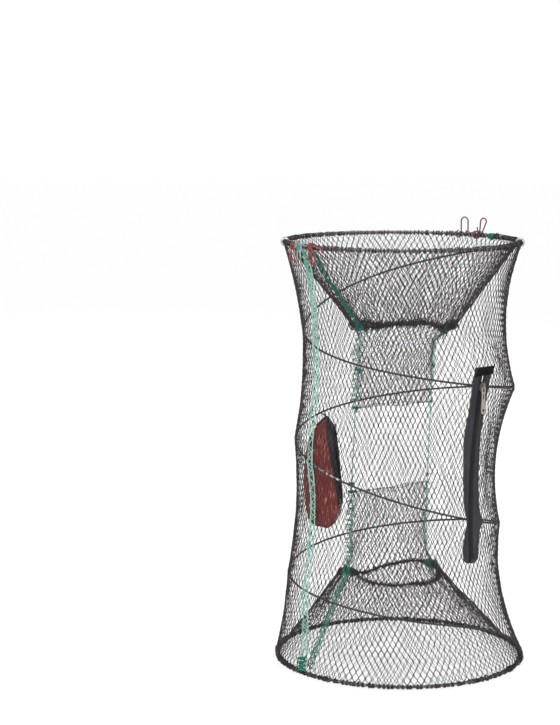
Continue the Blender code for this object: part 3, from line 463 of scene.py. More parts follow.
def coil_point(turn):
    """The radius and height of the coil's wire at a turn."""
    low, high = BOTTOM_HEIGHT + COIL_SEAT, TOP_HEIGHT - COIL_SEAT
    return between(turn, 1), low + between(turn, 2) * (high - low)


def folds(piece, slot, *nodes):
    """The piece moves with the base, is shown instead of the nodes and gets a mesh of its own."""
    rides(piece, "base", slot, *nodes)
    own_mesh(piece)


# Painted glint: between these coil steps the wire carries near-white dashes that stand in for a highlight.
COIL_STEPS, PAINTED_GLINT_START, PAINTED_GLINT_END = 540, 288, 298
turns = [COIL_TURNS * n / COIL_STEPS for n in range(COIL_STEPS + 1)]
route = [around(360.0 * turn, *coil_point(turn)) for turn in turns]
glint_lengths = [sum((b - a).length for a, b in zip(route[:n], route[1:n])) for n in (PAINTED_GLINT_START, PAINTED_GLINT_END)]
spring_wire = wire_finish("spring_wire", "2B2A2B", "625F5F", glint_lengths)
spring = lines("spring", [route], COIL_WIRE, 12, spring_wire)
folds(spring, "galvanised_wire", "spring_coil")

# Outer netting: machine-made knotless netting of black twine in diamonds about 7 by 14 mm. It is tied to
# both rings, held out by the coil, drawn in between them, and slit where the zip is sewn on. The seed keeps
# the sway of all nets the same in each run. Without one, noise_vector starts from the clock.
noise.seed_set(1)
NET_TWINE, NET_COLUMNS, NET_ROWS, SEAM_ANGLE = 0.00070, 122, 37, 215.0
ZIP_ANGLE, ZIP_FOOT, ZIP_TOP = 312.0, 0.143, 0.389
ZIP_ARC, ZIP_CENTRE_RADIUS, ZIP_CENTRE_HEIGHT = 0.776788, 0.906083, 0.213074


def zip_radius(height):
    return ZIP_CENTRE_RADIUS - math.sqrt(ZIP_ARC**2 - (height - ZIP_CENTRE_HEIGHT) ** 2)


def wall_radius(angle, height):
    """The netting is held out by the rings and the coil, drawn in between them, and lies under the zip."""
    first = (angle % 360.0) / 360.0
    held = [(TOP_RADIUS + 0.0020, TOP_HEIGHT - 0.0012)]
    held += [(r + 0.0019, h) for r, h in (coil_point(first + n) for n in range(3))]
    held += [(BOTTOM_RADIUS + 0.0020, BOTTOM_HEIGHT + 0.0012)]
    above = [p for p in held if p[1] >= height - 1e-6][-1]
    below = [p for p in held if p[1] <= height + 1e-6][0]
    span = max(above[1] - below[1], 1e-6)
    f = min(1.0, max(0.0, (above[1] - height) / span))
    waist = 0.015 * (span / 0.18) ** 2 * 4 * f * (1 - f) * (1 - 0.55 * spread(angle, 190.0, 40.0))
    free = above[0] + (below[0] - above[0]) * f - waist
    apart = abs((angle - ZIP_ANGLE + 180.0) % 360.0 - 180.0)
    beyond = max(0.0, ZIP_FOOT - height, height - ZIP_TOP)
    near = max(0.0, 1.0 - max(0.0, apart - 6.0) / 20.0) * max(0.0, 1.0 - beyond / 0.05)
    hold = near * near * (3 - 2 * near)
    return free + (zip_radius(height) - 0.0011 - free) * hold


def net(name, columns, rows, place, width, cut=None, join=0.0011, pair=0.42, sides=4):
    """Knotless netting on a tube: twines run side by side and through each other at each crossing.

    place(column, row) gives a point of the tube, and cut says which crossings are left out.
    """
    spots = {}
    for j in range(2 * rows + 1):
        for i in range(columns):
            column, row = i + 0.5 * (j % 2), j / 2
            at = place(column, row)
            side = (place(column + 0.05, row) - at).normalized()
            step = -0.05 if j == 2 * rows else 0.05
            up = ((place(column, row + step) - at) / step).normalized()
            spots[i, j] = at, side * width * pair, up * join, bool(cut and cut(at))
    routes = []
    for i in range(columns):
        for lean in (1, -1):
            route = []
            for j in range(2 * rows + 1):
                home = i if j % 2 == 0 or lean > 0 else i - 1
                at, side, up, gone = spots[home % columns, j]
                if gone:
                    if len(route) > 2:
                        routes.append(route)
                    route = []
                    continue
                offset = side * (lean if j % 2 == 0 else -lean)
                route += [at + offset - up, at + offset + up]
            if len(route) > 2:
                routes.append(route)
    total = sum(len(r) for r in routes)
    thick = [1.0 + 0.15 * uneven(n * 0.07, rows) for n in range(total)]
    bars = lines(name, routes, width, sides, black_twine, thick=thick)
    tight = [[at - up * 1.3, at, at + up * 1.3] for at, _, up, gone in spots.values() if not gone]
    thick = [0.7, 1.0, 0.7] * len(tight)
    return bars, lines(f"{name}_crossings", tight, width * 1.9, 5, black_twine, thick=thick)


def on_wall(column, row):
    share = row / NET_ROWS
    low, high = BOTTOM_HEIGHT + 0.0012, TOP_HEIGHT - 0.0012
    angle = SEAM_ANGLE + 360.0 * column / NET_COLUMNS
    height = low + (high - low) * share
    loose = min(1.0, 8 * share * (1 - share))
    spot = around(angle, 0.15, height)
    slow = noise.noise_vector(spot * 9.0) * 0.0060
    quick = noise.noise_vector(spot * 45.0) * 0.0014
    angle += math.degrees((slow.x + quick.x) / 0.14) * loose
    height += (slow.z * 0.6 + quick.z) * loose
    return around(angle, wall_radius(angle, height) + quick.y * 0.4 * loose, height)


def behind_zip(at):
    """The slit that the zip shuts: its edges are sewn in under the tapes."""
    aside = math.radians((math.degrees(math.atan2(at.y, at.x)) - ZIP_ANGLE + 180.0) % 360.0 - 180.0) * 0.14
    return abs(aside) < 0.006 and ZIP_FOOT + 0.006 < at.z < ZIP_TOP - 0.006


for piece in net("outer_netting", NET_COLUMNS, NET_ROWS, on_wall, NET_TWINE, behind_zip):
    folds(piece, "black_twine", "outer_net")

# Funnels and throats: the same netting, gathered to a round mouth and drawn on to a flat slot.
# The mouths are soft: the green cords pull their corners inwards, and the slack side hangs.
MOUTH_RADIUS, FUNNEL_COLUMNS, FUNNEL_ROWS, THROAT_COLUMNS, THROAT_ROWS = 0.064, 104, 10, 40, 10
FUNNEL_TWINE, THROAT_TWINE = 0.00068, 0.00052
SLOT_WIDE, SLOT_GAP = 0.057, 0.005
FUNNELS = {
    "top": (TOP_RADIUS, TOP_HEIGHT, TOP_HEIGHT - 0.105, TOP_HEIGHT - 0.208, 0.003, -0.009),
    "bottom": (BOTTOM_RADIUS, BOTTOM_HEIGHT, BOTTOM_HEIGHT + 0.104, BOTTOM_HEIGHT + 0.217, -0.012, -0.014),
}


def sag(place, angle):
    """How far the mouth's cord is pulled up or down at an azimuth."""
    front, rear = spread(angle, SEAM_ANGLE, 28.0), spread(angle, SEAM_ANGLE - 180.0, 28.0)
    if place == "top":
        pulled = 0.007 * (spread(angle, 280.0, 48.0) - spread(angle, 110.0, 48.0))
        pulled -= 0.002 * front + 0.009 * rear
    else:
        pulled = 0.011 * front + 0.006 * rear - 0.012 * spread(angle, 125.0, 32.0)
    return pulled + 0.0015 * math.sin(math.radians(angle * 7)) * math.sin(math.radians(angle * 2))


def on_funnel(place, column, row):
    ring_radius, ring_height, mouth, _, shift, _ = FUNNELS[place]
    inward = 1.0 if mouth > ring_height else -1.0
    f = row / FUNNEL_ROWS
    angle = SEAM_ANGLE + 360.0 * column / FUNNEL_COLUMNS
    radius = ring_radius - 0.0018 + (MOUTH_RADIUS + 0.0015 - ring_radius + 0.0018) * f
    height = ring_height + inward * 0.0012 + (mouth - ring_height - inward * 0.0012) * f
    at = around(angle, radius, height + sag(place, angle) * f**3) + Vector((shift * f, 0.0, 0.0))
    loose = 4 * f * (1 - f)
    sway = noise.noise_vector(at * 30.0) * 0.0022
    ruffle = 0.0016 * f**3 * math.sin(math.radians(angle) * 23)
    return at + sway * loose + around(angle, ruffle, 0.0)


def on_throat(place, column, row):
    """The throat is round at the mouth and soon lens-shaped, with its long side in line with the seam."""
    _, _, mouth, slot, shift, slot_shift = FUNNELS[place]
    f = row / THROAT_ROWS
    turn = math.tau * (column / THROAT_COLUMNS % 1.0)
    drawn = min(1.0, f / 0.25)
    drawn = drawn * drawn * (3 - 2 * drawn)
    wide = MOUTH_RADIUS - 0.0010 + (SLOT_WIDE - MOUTH_RADIUS + 0.0010) * drawn
    gap = SLOT_GAP + (MOUTH_RADIUS - 0.0010 - SLOT_GAP) * (1 - f) ** 1.35
    front = turn < math.pi
    u = 1 - 2 * turn / math.pi if front else 2 * turn / math.pi - 3
    across = wide * (math.cos(turn) * (1 - drawn) + u * drawn)
    deep = gap * (math.sin(turn) * (1 - drawn) + (1 - u * u) * (1 if front else -1) * drawn)
    angle = SEAM_ANGLE + math.degrees(turn)
    height = mouth + (slot - mouth) * f + sag(place, angle) * (1 - f) ** 3
    oval = Vector((across, deep, height))
    at = Matrix.Rotation(math.radians(SEAM_ANGLE), 3, "Z") @ oval
    at += Vector((shift + (slot_shift - shift) * (0.6 * drawn + 0.4 * f), 0.0, 0.0))
    sway = noise.noise_vector(at * 28.0) * 0.0030
    return at + Vector((sway.x, sway.y, sway.z * (0.4 + f))) * min(1.0, 3 * f)


for place in FUNNELS:
    cone = net(
        f"{place}_funnel",
        FUNNEL_COLUMNS,
        FUNNEL_ROWS,
        lambda column, row: on_funnel(place, column, row),
        FUNNEL_TWINE,
        join=0.0009,
    )
    throat = net(
        f"{place}_throat",
        THROAT_COLUMNS,
        THROAT_ROWS,
        lambda column, row: on_throat(place, column, row),
        THROAT_TWINE,
    )
    for sort, pieces in (("funnel", cone), ("throat", throat)):
        for piece in pieces:
            folds(piece, "black_twine", f"{place}_{sort}_net")
    tip = [on_throat(place, n / 4, THROAT_ROWS) for n in range(THROAT_COLUMNS * 4)]
    edge = lines(f"{place}_throat_edge", [tip], 0.0007, 5, black_twine, closed=True)
    folds(edge, "black_twine", f"{place}_throat_net")


# Mouth cords: a black rope round each mouth, which keeps it open. The netting's gathered, ruffled edge is
# whipped to it with twine, in turns of uneven height.
def on_mouth(place, angle, turn=0.0, reach=0.0):
    """A point by a mouth's rope: turn goes round the rope, reach is the distance from its middle."""
    _, _, mouth, _, shift, _ = FUNNELS[place]
    radius = MOUTH_RADIUS + reach * math.cos(turn)
    height = mouth + sag(place, angle) + reach * math.sin(turn)
    return around(angle, radius, height) + Vector((shift, 0.0, 0.0))


for place in FUNNELS:
    core = [on_mouth(place, n * 3.0) for n in range(120)]
    rope = lines(f"{place}_mouth_rope", [core], 0.0026, 8, black_twine, closed=True)
    whips = []
    for count, reach, seed in ((96, 0.0019, 1.3), (71, 0.0027, 7.9), (57, 0.0037, 3.1), (43, 0.0047, 9.4)):
        route = []
        for n in range(count * 10):
            here = reach * (1 + 0.55 * uneven(n * 0.13, seed + FUNNELS[place][2]))
            here *= 1.05 if place == "top" else 0.8
            turn = math.radians(n * 36.0)
            route.append(on_mouth(place, 360.0 * n / (count * 10), turn, here))
        whips.append(route)
    whip = lines(f"{place}_mouth_whipping", whips, 0.0009, 6, black_twine, closed=True)
    for piece in (rope, whip):
        folds(piece, "black_twine", f"{place}_mouth_cord")


# Seams: the netting is a flat sheet rolled to a tube, and its edges are laced together with green cord, to
# and fro over a cord along each edge. The side seam has faded most, and drifts aside near the bottom ring.
def lacing(spot, count, wide, seed, lift=0.0008):
    """A zigzag from edge to edge; spot(share, aside, out) gives a point of the seam."""
    route = []
    for n in range(count * 6 + 1):
        turn = math.pi * n / 6 + seed
        aside = wide / 2 * (math.sin(turn) - math.sin(3 * turn) / 9) * (1 + 0.4 * uneven(n * 0.17, seed))
        route.append(spot(n / (count * 6), aside, lift * (1 + 0.6 * math.cos(2 * turn + seed))))
    return route


def edge_cord(spot, count, aside, seed):
    return [spot(n / count, aside + 0.0022 * uneven(n * 0.3, seed), 0.0004) for n in range(count + 1)]


def on_seam(share, aside, out):
    height = TOP_HEIGHT - 0.0035 - (TOP_HEIGHT - BOTTOM_HEIGHT - 0.0070) * share
    radius = wall_radius(SEAM_ANGLE, height) + 0.0010 + out
    wander = 3.2 * spread(share * 100, 0.0, 16.0) - 5.4 * spread(share * 100, 42.0, 10.0)
    wander += 0.8 * uneven(share * 6.0, 4.4) + 6.5 * max(0.0, 1 - height / 0.170)
    return around(SEAM_ANGLE + wander + math.degrees(aside / radius), radius, height)


def seam_part(first, last):
    """A stretch of the side seam, for a cord of its own."""
    return lambda share, aside, out: on_seam(first + (last - first) * share, aside, out)


seam = [lacing(on_seam, 76, 0.0115, 0.0), lacing(on_seam, 57, 0.0100, 1.9, 0.0014)]
seam += [edge_cord(on_seam, 110, aside, 3 * n) for n, aside in enumerate((-0.0055, -0.0042, 0.0044, 0.0056))]
laced = lines("side_seam", seam, 0.0011, 6, pale_lacing)
folds(laced, "pale_green_lacing", "side_seam_lacing")
ends = []
for share, size, seed in ((0.972, 0.0038, 2.6), (0.983, 0.0044, 4.0), (0.992, 0.0038, 1.2)):
    at, ahead = on_seam(share, 0.0, 0.0012), on_seam(share + 0.006, 0.0, 0.0012)
    ends.append(knot(at, ahead - at, size, seed))
ends.append(lacing(seam_part(0.965, 1.0), 7, 0.0120, 0.7, 0.0016))
tied = lines("side_seam_knots", ends, 0.0016, 6, green_cord)
start = [lacing(seam_part(0.0, 0.09), 12, 0.0105, 0.2, 0.0016)]
start.append(knot(on_seam(0.03, 0.002, 0.0012), Vector((0, 0, 1)), 0.0032, 1.9))
begun = lines("side_seam_start", start, 0.0014, 6, worn_cord)
for piece in (tied, begun):
    folds(piece, "green_cord", "side_seam_lacing")

for place, turned in (("top", 6.0), ("bottom", 9.0)):
    ring_radius, ring_height, mouth, _, shift, _ = FUNNELS[place]
    inward = 1.0 if mouth > ring_height else -1.0

    def on_funnel_seam(share, aside, out, place=place, turned=turned, inward=inward):
        f = 0.04 + 0.94 * share
        radius = 0.150 + (MOUTH_RADIUS - 0.150) * f
        degrees = turned * (1 - f) + math.degrees(aside / radius)
        at = on_funnel(place, degrees * FUNNEL_COLUMNS / 360.0, f * FUNNEL_ROWS)
        return at + around(SEAM_ANGLE, 0.75 * (out + 0.0006), 0.66 * inward * (out + 0.0006))

    bands = [lacing(on_funnel_seam, 34, 0.0095, 0.6), lacing(on_funnel_seam, 27, 0.0080, 2.2, 0.0013)]
    bands += [edge_cord(on_funnel_seam, 40, aside, 2 + n) for n, aside in enumerate((-0.0046, 0.0, 0.0046))]
    laced = lines(f"{place}_funnel_seam", bands, 0.0013, 6, green_cord if place == "top" else worn_cord)
    folds(laced, "green_cord", f"{place}_funnel_lacing")


# Tie cords: green cord knotted to the corners of each mouth, which it pulls inwards. It runs along the
# throats' edges, loosely laced to them, and taut and pale from one throat to the other.
for side, column in (("front", 0.0), ("rear", THROAT_COLUMNS / 2)):
    corner = SEAM_ANGLE if side == "front" else SEAM_ANGLE - 180.0
    out = around(corner, 1.0, 0.0)
    keys = [on_mouth("top", corner, -1.2, 0.0040)]
    keys += [on_throat("top", column, row) + out * 0.0011 for row in range(1, THROAT_ROWS + 1)]
    keys += [on_throat("bottom", column, row) + out * 0.0011 for row in range(THROAT_ROWS, 0, -1)]
    keys += [on_mouth("bottom", corner, 1.2, 0.0040)]
    cord = smooth(keys, 6)
    beside = out.cross(Vector((0, 0, 1)))
    full = 1.45 if side == "front" else 0.6
    stitches = []
    for half in (cord[6 : 6 * THROAT_ROWS], cord[6 * (THROAT_ROWS + 1) : -6]):
        fine = smooth(half[::3], 10)
        for pace, seed in ((0.52, 0.0), (0.37, 9.0)):
            stitch = []
            for n, p in enumerate(fine):
                loose = full * (1 + 0.7 * uneven(n * 0.045, seed))
                swing = loose * (0.0034 * math.cos(n * pace + seed) + 0.0016)
                stitch.append(p + out * swing + beside * loose * 0.0026 * math.sin(n * pace + seed))
            stitches.append(stitch)
        for share, size in ((0.22, 0.0018), (0.5, 0.0021), (0.78, 0.0019), (0.97, 0.0024)):
            n = int(share * (len(fine) - 4))
            stitches.append(knot(fine[n] + beside * 0.0008, fine[n + 3] - fine[n], size * full, 9 * share))
    knots = []
    for row in (THROAT_ROWS, THROAT_ROWS + 1):
        at, ahead = cord[6 * row], cord[6 * row + 3]
        knots.append(knot(at, ahead - at, 0.0029 * full, row))
        knots.append(knot(at + (at - ahead) * 0.9, ahead - at, 0.0025 * full, row + 2.0))
    for place in FUNNELS:
        bundle = ((0.0, 0.3, 0.0042), (-4.5, 1.1, 0.0036), (3.5, -0.8, 0.0034))
        for n, (apart, turn, size) in enumerate(bundle):
            at = on_mouth(place, corner + apart, turn, 0.0030)
            ahead = on_mouth(place, corner + apart + 3, turn, 0.0030)
            knots.append(knot(at, ahead - at, size, n * 1.7))
        wrap = []
        for n in range(8 * 12 + 1):
            reach = 0.0042 + 0.0008 * uneven(n * 0.21, corner)
            wrap.append(on_mouth(place, corner - 7.0 + 14.0 * n / 96, math.tau * n / 12, reach))
        knots.append(wrap)
    tie = lines(f"{side}_tie_knots", knots, 0.0016, 7, green_cord)
    taut = lines(f"{side}_tie", [cord], 0.0015, 7, pale_lacing)
    laced = lines(f"{side}_tie_lacing", stitches, 0.0011, 5, faded_cord)
    for piece in (tie, taut, laced):
        folds(piece, "green_cord", f"{side}_tie_cord")


# Zip: two woven polyester tapes, with a moulded nylon coil sewn to each, lie on the slit in the netting.
# A doubled tape is stitched over the top end and a nylon stop is moulded on the foot. The coil spring behind
# pushes the tapes aside and outwards where it passes.
def cloth(name, columns, rows, place, size, thickness, finish):
    """A sheet of cloth: place(across, along) gives a point for shares from 0 to 1; its UVs are in metres."""
    wide = columns + 1
    points = [place(i / columns, j / rows) for j in range(rows + 1) for i in range(wide)]
    corners = [j * wide + i for j in range(rows) for i in range(columns)]
    mesh = bpy.data.meshes.new(name)
    mesh.from_pydata(points, [], [(n, n + 1, n + wide + 1, n + wide) for n in corners])
    mesh.shade_smooth()
    layer = mesh.uv_layers.new(name="UVMap")
    for loop, spot in zip(mesh.loops, layer.data):
        n = loop.vertex_index
        spot.uv = (n % wide / columns * size[0], n // wide / rows * size[1])
    mesh.materials.append(finish)
    obj = bpy.data.objects.new(name, mesh)
    scene.collection.objects.link(obj)
    solid = obj.modifiers.new("thickness", "SOLIDIFY")
    solid.thickness = thickness
    solid.offset = 0.0
    return obj


def weave(tree, across, along, lean=0.0):
    """Threads that cross: 0 in the gaps between them and 1 on their crowns, from the sheet's UVs."""
    spot = add(tree, "ShaderNodeUVMap", uv_map="UVMap").outputs[0]
    place = add(tree, "ShaderNodeSeparateXYZ", {"Vector": spot}).outputs
    leaned = combine(tree, "ADD", place["X"], combine(tree, "MULTIPLY", place["Y"], lean))
    threads = []
    for value, gap in ((leaned, across), (place["Y"], along)):
        wave = combine(tree, "SINE", combine(tree, "MULTIPLY", value, math.pi / gap))
        threads.append(combine(tree, "ABSOLUTE", wave))
    return combine(tree, "MULTIPLY", *threads)


def tape_colour(tree):
    fuzz = combine(tree, "MULTIPLY", weave(tree, 0.0009, 0.0012, 0.6), rough(tree, 0.0008))
    colour = mixed(tree, fuzz, linear("232228"), linear("5A5860"))
    return mixed(tree, ramp(tree, rough(tree, 0.020), 0.5, 0.8, 0.0, 0.5), colour, linear("46444C"))


# The tape's twill is dull and dark, with fuzzy threads about 1 mm apart, a little coarser than the real ones.
# The coil is plain extruded nylon, with a soft shine.
zip_cloth = finish("zip_cloth", tape_colour, 0.85, lambda tree: weave(tree, 0.0009, 0.0012, 0.6), 0.00015)
zip_nylon = finish("zip_nylon", mottled(0.002, "131215", "2E2C31"), 0.42, grain(0.0003), 0.00002)
TAPE_WIDTH, TAPE_FOOT, TAPE_TOP, SLIDER_HEIGHT, STOP_HEIGHT = 0.0250, 0.1455, 0.3935, 0.369, 0.1480
COIL_FOOT, COIL_PITCH, STITCH_LENGTH = 0.150, 0.00145, 0.234
TAPE_EDGES = (
    (0.143, 0.0118, 0.0122),
    (0.162, 0.0129, 0.0145),
    (0.182, 0.0092, 0.0168),
    (0.195, 0.0060, 0.0222),
    (0.206, 0.0072, 0.0180),
    (0.222, 0.0108, 0.0155),
    (0.255, 0.0130, 0.0130),
    (0.303, 0.0163, 0.0113),
    (0.345, 0.0138, 0.0135),
    (0.394, 0.0142, 0.0152),
)


def on_zip(aside, height, out):
    radius = zip_radius(height) + out
    return around(ZIP_ANGLE + math.degrees(aside / radius), radius, height)


def tape_edge(height):
    """Half the space between the tapes, which part in a lens between the slider and the top bar."""
    share = max(0.0, (height - SLIDER_HEIGHT) / (ZIP_TOP - 0.002 - SLIDER_HEIGHT))
    return 0.00015 + 0.0017 * math.sin(math.pi * min(1.0, share))


def tape_reach(sign, height):
    """How far one tape reaches aside: the coil pushes both sideways where its passes cross them."""
    keys = [(k[0], k[1] if sign < 0 else k[2]) for k in TAPE_EDGES]
    n = min(len(keys) - 2, max(0, sum(1 for k in keys if k[0] <= height) - 1))
    (low, first), (high, last) = keys[n], keys[n + 1]
    f = min(1.0, max(0.0, (height - low) / (high - low)))
    return first + (last - first) * f * f * (3 - 2 * f) + 0.0004 * uneven(height * 160, sign)


for side, sign in (("left", -1.0), ("right", 1.0)):

    def on_tape(across, along, sign=sign):
        height = TAPE_FOOT + (TAPE_TOP - TAPE_FOOT) * along
        inner = tape_edge(height)
        aside = inner + (tape_reach(sign, height) - inner) * across
        rounding = 0.0045 * across**4 * max(0.0, 1 - along * 30)
        fold = 0.0016 * across * spread(height * 1000, 195.0, 9.0) * (1 if sign > 0 else 0.4)
        ripple = 0.0007 * across**2 * uneven(height * 70, 5 + sign)
        return on_zip(sign * aside, height + rounding, 0.0004 + abs(ripple) + fold)

    tape = cloth(f"zip_tape_{side}_cloth", 12, 140, on_tape, (TAPE_WIDTH / 2, 0.2480), 0.0008, zip_cloth)
    folds(tape, "zip_cloth", f"zip_tape_{side}")
    coil, count = [], int((ZIP_TOP - 0.004 - COIL_FOOT) / COIL_PITCH)
    for n in range(count * 9):
        turn = math.tau * n / 9 + (math.pi if sign > 0 else 0.0)
        height = COIL_FOOT + COIL_PITCH * n / 9
        aside = 0.0012 - 0.0015 * math.cos(turn) + tape_edge(height)
        coil.append(on_zip(sign * aside, height, 0.0019 + 0.0006 * math.sin(turn)))
    teeth = lines(f"zip_coil_{side}", [coil], 0.0006, 6, zip_nylon)
    folds(teeth, "zip_nylon", f"zip_teeth_{side}")
    sewn = []
    for aside, out, pitch in ((0.0021, 0.0028, 0.0024), (0.0036, 0.0009, 0.0030), (0.0, 0.0012, 0.0036)):
        total = int(STITCH_LENGTH / pitch * 4)
        row = []
        for n in range(total):
            height = COIL_FOOT + STITCH_LENGTH * n / total
            here = aside + tape_edge(height) if aside else 0.76 * tape_reach(sign, height)
            row.append(on_zip(sign * here, height, out - 0.0003 * (n % 4 == 0)))
        sewn.append(row)
    stitching = lines(f"zip_stitching_{side}", sewn, 0.00035, 4, zip_nylon)
    folds(stitching, "zip_cloth", f"zip_tape_{side}")


def on_bar(across, along, out=0.0016):
    """The bar over the zip's top end, cut at a slant on its left."""
    left = -0.0155 + 0.0040 * along
    return on_zip(left + (0.0165 - left) * across, 0.3835 + 0.0100 * along - 0.0012 * (1 - across) ** 2, out)


bar = cloth("zip_top_bar_cloth", 24, 6, on_bar, (0.031, 0.010), 0.0012, zip_cloth)
satin = [on_bar(n / 112, -0.03 + 1.06 * (n % 2) + 0.03 * uneven(n, 2.2), 0.0024) for n in range(113)]
tack = lines("zip_top_bar_stitching", [satin], 0.00045, 5, zip_cloth)
for piece in (bar, tack):
    rides(piece, "zip_head", "zip_cloth", "zip_top_bar")


def plate(outlines, near, far, place, bevel=0.0002):
    """A flat mesh with rounded edges from closed (across, up) outlines, the first round the others."""
    data = bpy.data.curves.new("plate", "CURVE")
    data.dimensions = "2D"
    data.fill_mode = "BOTH"
    data.extrude = (far - near) / 2 - bevel
    data.bevel_depth = bevel
    data.bevel_resolution = 2
    data.offset = -bevel
    for outline in outlines:
        spline = data.splines.new("POLY")
        spline.points.add(len(outline) - 1)
        for point, at in zip(spline.points, outline):
            point.co = (at[0], at[1], 0.0, 1.0)
        spline.use_cyclic_u = True
    shape = bpy.data.objects.new("plate", data)
    scene.collection.objects.link(shape)
    mesh = bpy.data.meshes.new_from_object(shape.evaluated_get(bpy.context.evaluated_depsgraph_get()))
    bpy.data.objects.remove(shape)
    upright = Matrix.Rotation(math.radians(90.0), 4, "X")
    mesh.transform(place @ Matrix.Translation((0.0, (near + far) / 2, 0.0)) @ upright)
    return mesh


def solid(name, meshes, finish):
    """One piece from several meshes."""
    shape = bmesh.new()
    for mesh in meshes:
        shape.from_mesh(mesh)
    bmesh.ops.remove_doubles(shape, verts=shape.verts[:], dist=1e-6)
    mesh = bpy.data.meshes.new(name)
    shape.to_mesh(mesh)
    shape.free()
    mesh.shade_smooth()
    mesh.set_sharp_from_angle(angle=math.radians(40))
    mesh.materials.clear()
    mesh.materials.append(finish)
    obj = bpy.data.objects.new(name, mesh)
    scene.collection.objects.link(obj)
    return obj


def mirrored(profile, count=6):
    """A closed outline from the right side's (half width, up) points, from the top down."""
    right = smooth([Vector(p) for p in profile], count)
    return [*right, *(Vector((-p.x, p.y)) for p in reversed(right))]


def rounded(half_width, low, high, corner):
    """A closed rectangle with round corners."""
    outline = []
    for x, y, start in (
        (half_width - corner, high - corner, 0),
        (corner - half_width, high - corner, 90),
        (corner - half_width, low + corner, 180),
        (half_width - corner, low + corner, 270),
    ):
        for n in range(7):
            turn = math.radians(start + 15 * n)
            outline.append(Vector((x + corner * math.cos(turn), y + corner * math.sin(turn))))
    return outline


def zip_frame(height, out):
    """Axes on the zip: X across the tape, Y outwards and Z up along it."""
    tilt = math.asin((height - ZIP_CENTRE_HEIGHT) / ZIP_ARC)
    turned = Matrix.Rotation(math.radians(ZIP_ANGLE - 90.0), 4, "Z") @ Matrix.Rotation(-tilt, 4, "X")
    return Matrix.Translation(around(ZIP_ANGLE, zip_radius(height) + out, height)) @ turned


block = plate([rounded(0.0031, -0.0025, 0.0025, 0.0008)], 0.0002, 0.0024, zip_frame(STOP_HEIGHT, 0.0008))
stop = solid("zip_stop", [block], zip_nylon)
folds(stop, "zip_nylon", "zip_foot_stop")


# Slider and pull: die-cast zinc. The slider is bare and dark, with two plates, flanges and a bent bail. The
# pull hangs in the bail and is stamped, with cream paint that is worn through along its edges.
def paint_colour(tree):
    edge = add(tree, "ShaderNodeNewGeometry").outputs["Pointiness"]
    chips = combine(tree, "MULTIPLY", rough(tree, 0.0012), 0.12)
    worn = ramp(tree, combine(tree, "ADD", edge, chips), 0.58, 0.66)
    return mixed(tree, worn, mottled(0.006, "948E82", "BDB6A8", 4.0)(tree), linear("77726A"))


bare_colour = mottled(0.0015, "4B4843", "857F75", 4.0)
zip_metal = finish("zip_metal", paint_colour, 0.38, grain(0.0006), 0.00003, Metallic=0.15, Coat_Weight=0.25)
bare_metal = finish("bare_zip_metal", bare_colour, 0.45, grain(0.0004), 0.00004, Metallic=0.6)
slider_place = zip_frame(SLIDER_HEIGHT, 0.0008)
body = [
    (0.0001, 0.0057),
    (0.0022, 0.0055),
    (0.0036, 0.0044),
    (0.0041, 0.0028),
    (0.0040, 0.0002),
    (0.0033, -0.0028),
    (0.0030, -0.0048),
    (0.0020, -0.0056),
    (0.0001, -0.0057),
]
rim = [(x, y) for x, y in body[3:7]]
shapes = [
    plate([mirrored(body)], 0.0024, 0.0034, slider_place, 0.0003),
    plate([mirrored(body)], -0.0021, -0.0011, slider_place, 0.0003),
    plate([rounded(0.0006, 0.0034, 0.0058, 0.0005)], -0.0013, 0.0026, slider_place),
]
for sign in (1.0, -1.0):
    flange = [Vector((sign * x, y)) for x, y in rim]
    flange += [Vector((sign * (x - 0.0009), y)) for x, y in reversed(rim)]
    shapes.append(plate([flange], 0.0003, 0.0026, slider_place))
slider = solid("slider_body", shapes, bare_metal)
arch = [(0.0033, 0.0029), (0.0048, 0.0029), (0.0062, 0.0021), (0.0064, 0.0)]
arch += [(out, -up) for out, up in reversed(arch[:3])]
arch = [slider_place @ Vector((0.0, out, up)) for out, up in arch]
bail = lines("slider_bail", [smooth(arch, 5)], 0.0012, 10, zip_metal)
for piece in (slider, bail):
    rides(piece, "zip_slider", "zip_metal", "zip_slider")

pin = slider_place @ Vector((0.0, 0.0034 + 0.0012, 0.0))
pull_place = Matrix.Translation(around(ZIP_ANGLE, pin.xy.length, pin.z))
pull_place = pull_place @ Matrix.Rotation(math.radians(ZIP_ANGLE - 90.0), 4, "Z")
profile = (
    (0.0002, 0.0006),
    (0.0022, 0.0004),
    (0.0031, -0.0010),
    (0.0031, -0.0060),
    (0.0026, -0.0095),
    (0.0028, -0.0160),
    (0.0034, -0.0240),
    (0.0035, -0.0290),
    (0.0026, -0.0322),
    (0.0002, -0.0334),
)
turns = [math.tau * n / 24 for n in range(24)]
hole = [Vector((0.0019 * math.cos(turn), 0.0019 * math.sin(turn) - 0.0286)) for turn in turns]
holes = [rounded(0.0017, -0.0058, -0.0006, 0.0012), rounded(0.0010, -0.0148, -0.0078, 0.0009), hole]
shapes = [plate([mirrored(profile), *holes], -0.0006, 0.0006, pull_place, 0.0003)]
for n in range(4):
    up = -0.0175 - 0.0020 * n
    shapes.append(plate([rounded(0.0017, up - 0.0004, up + 0.0004, 0.0003)], -0.0008, 0.0008, pull_place))
pull = solid("pull_tab", shapes, zip_metal)
rides(pull, "zip_pull", "zip_metal", "zip_pull")

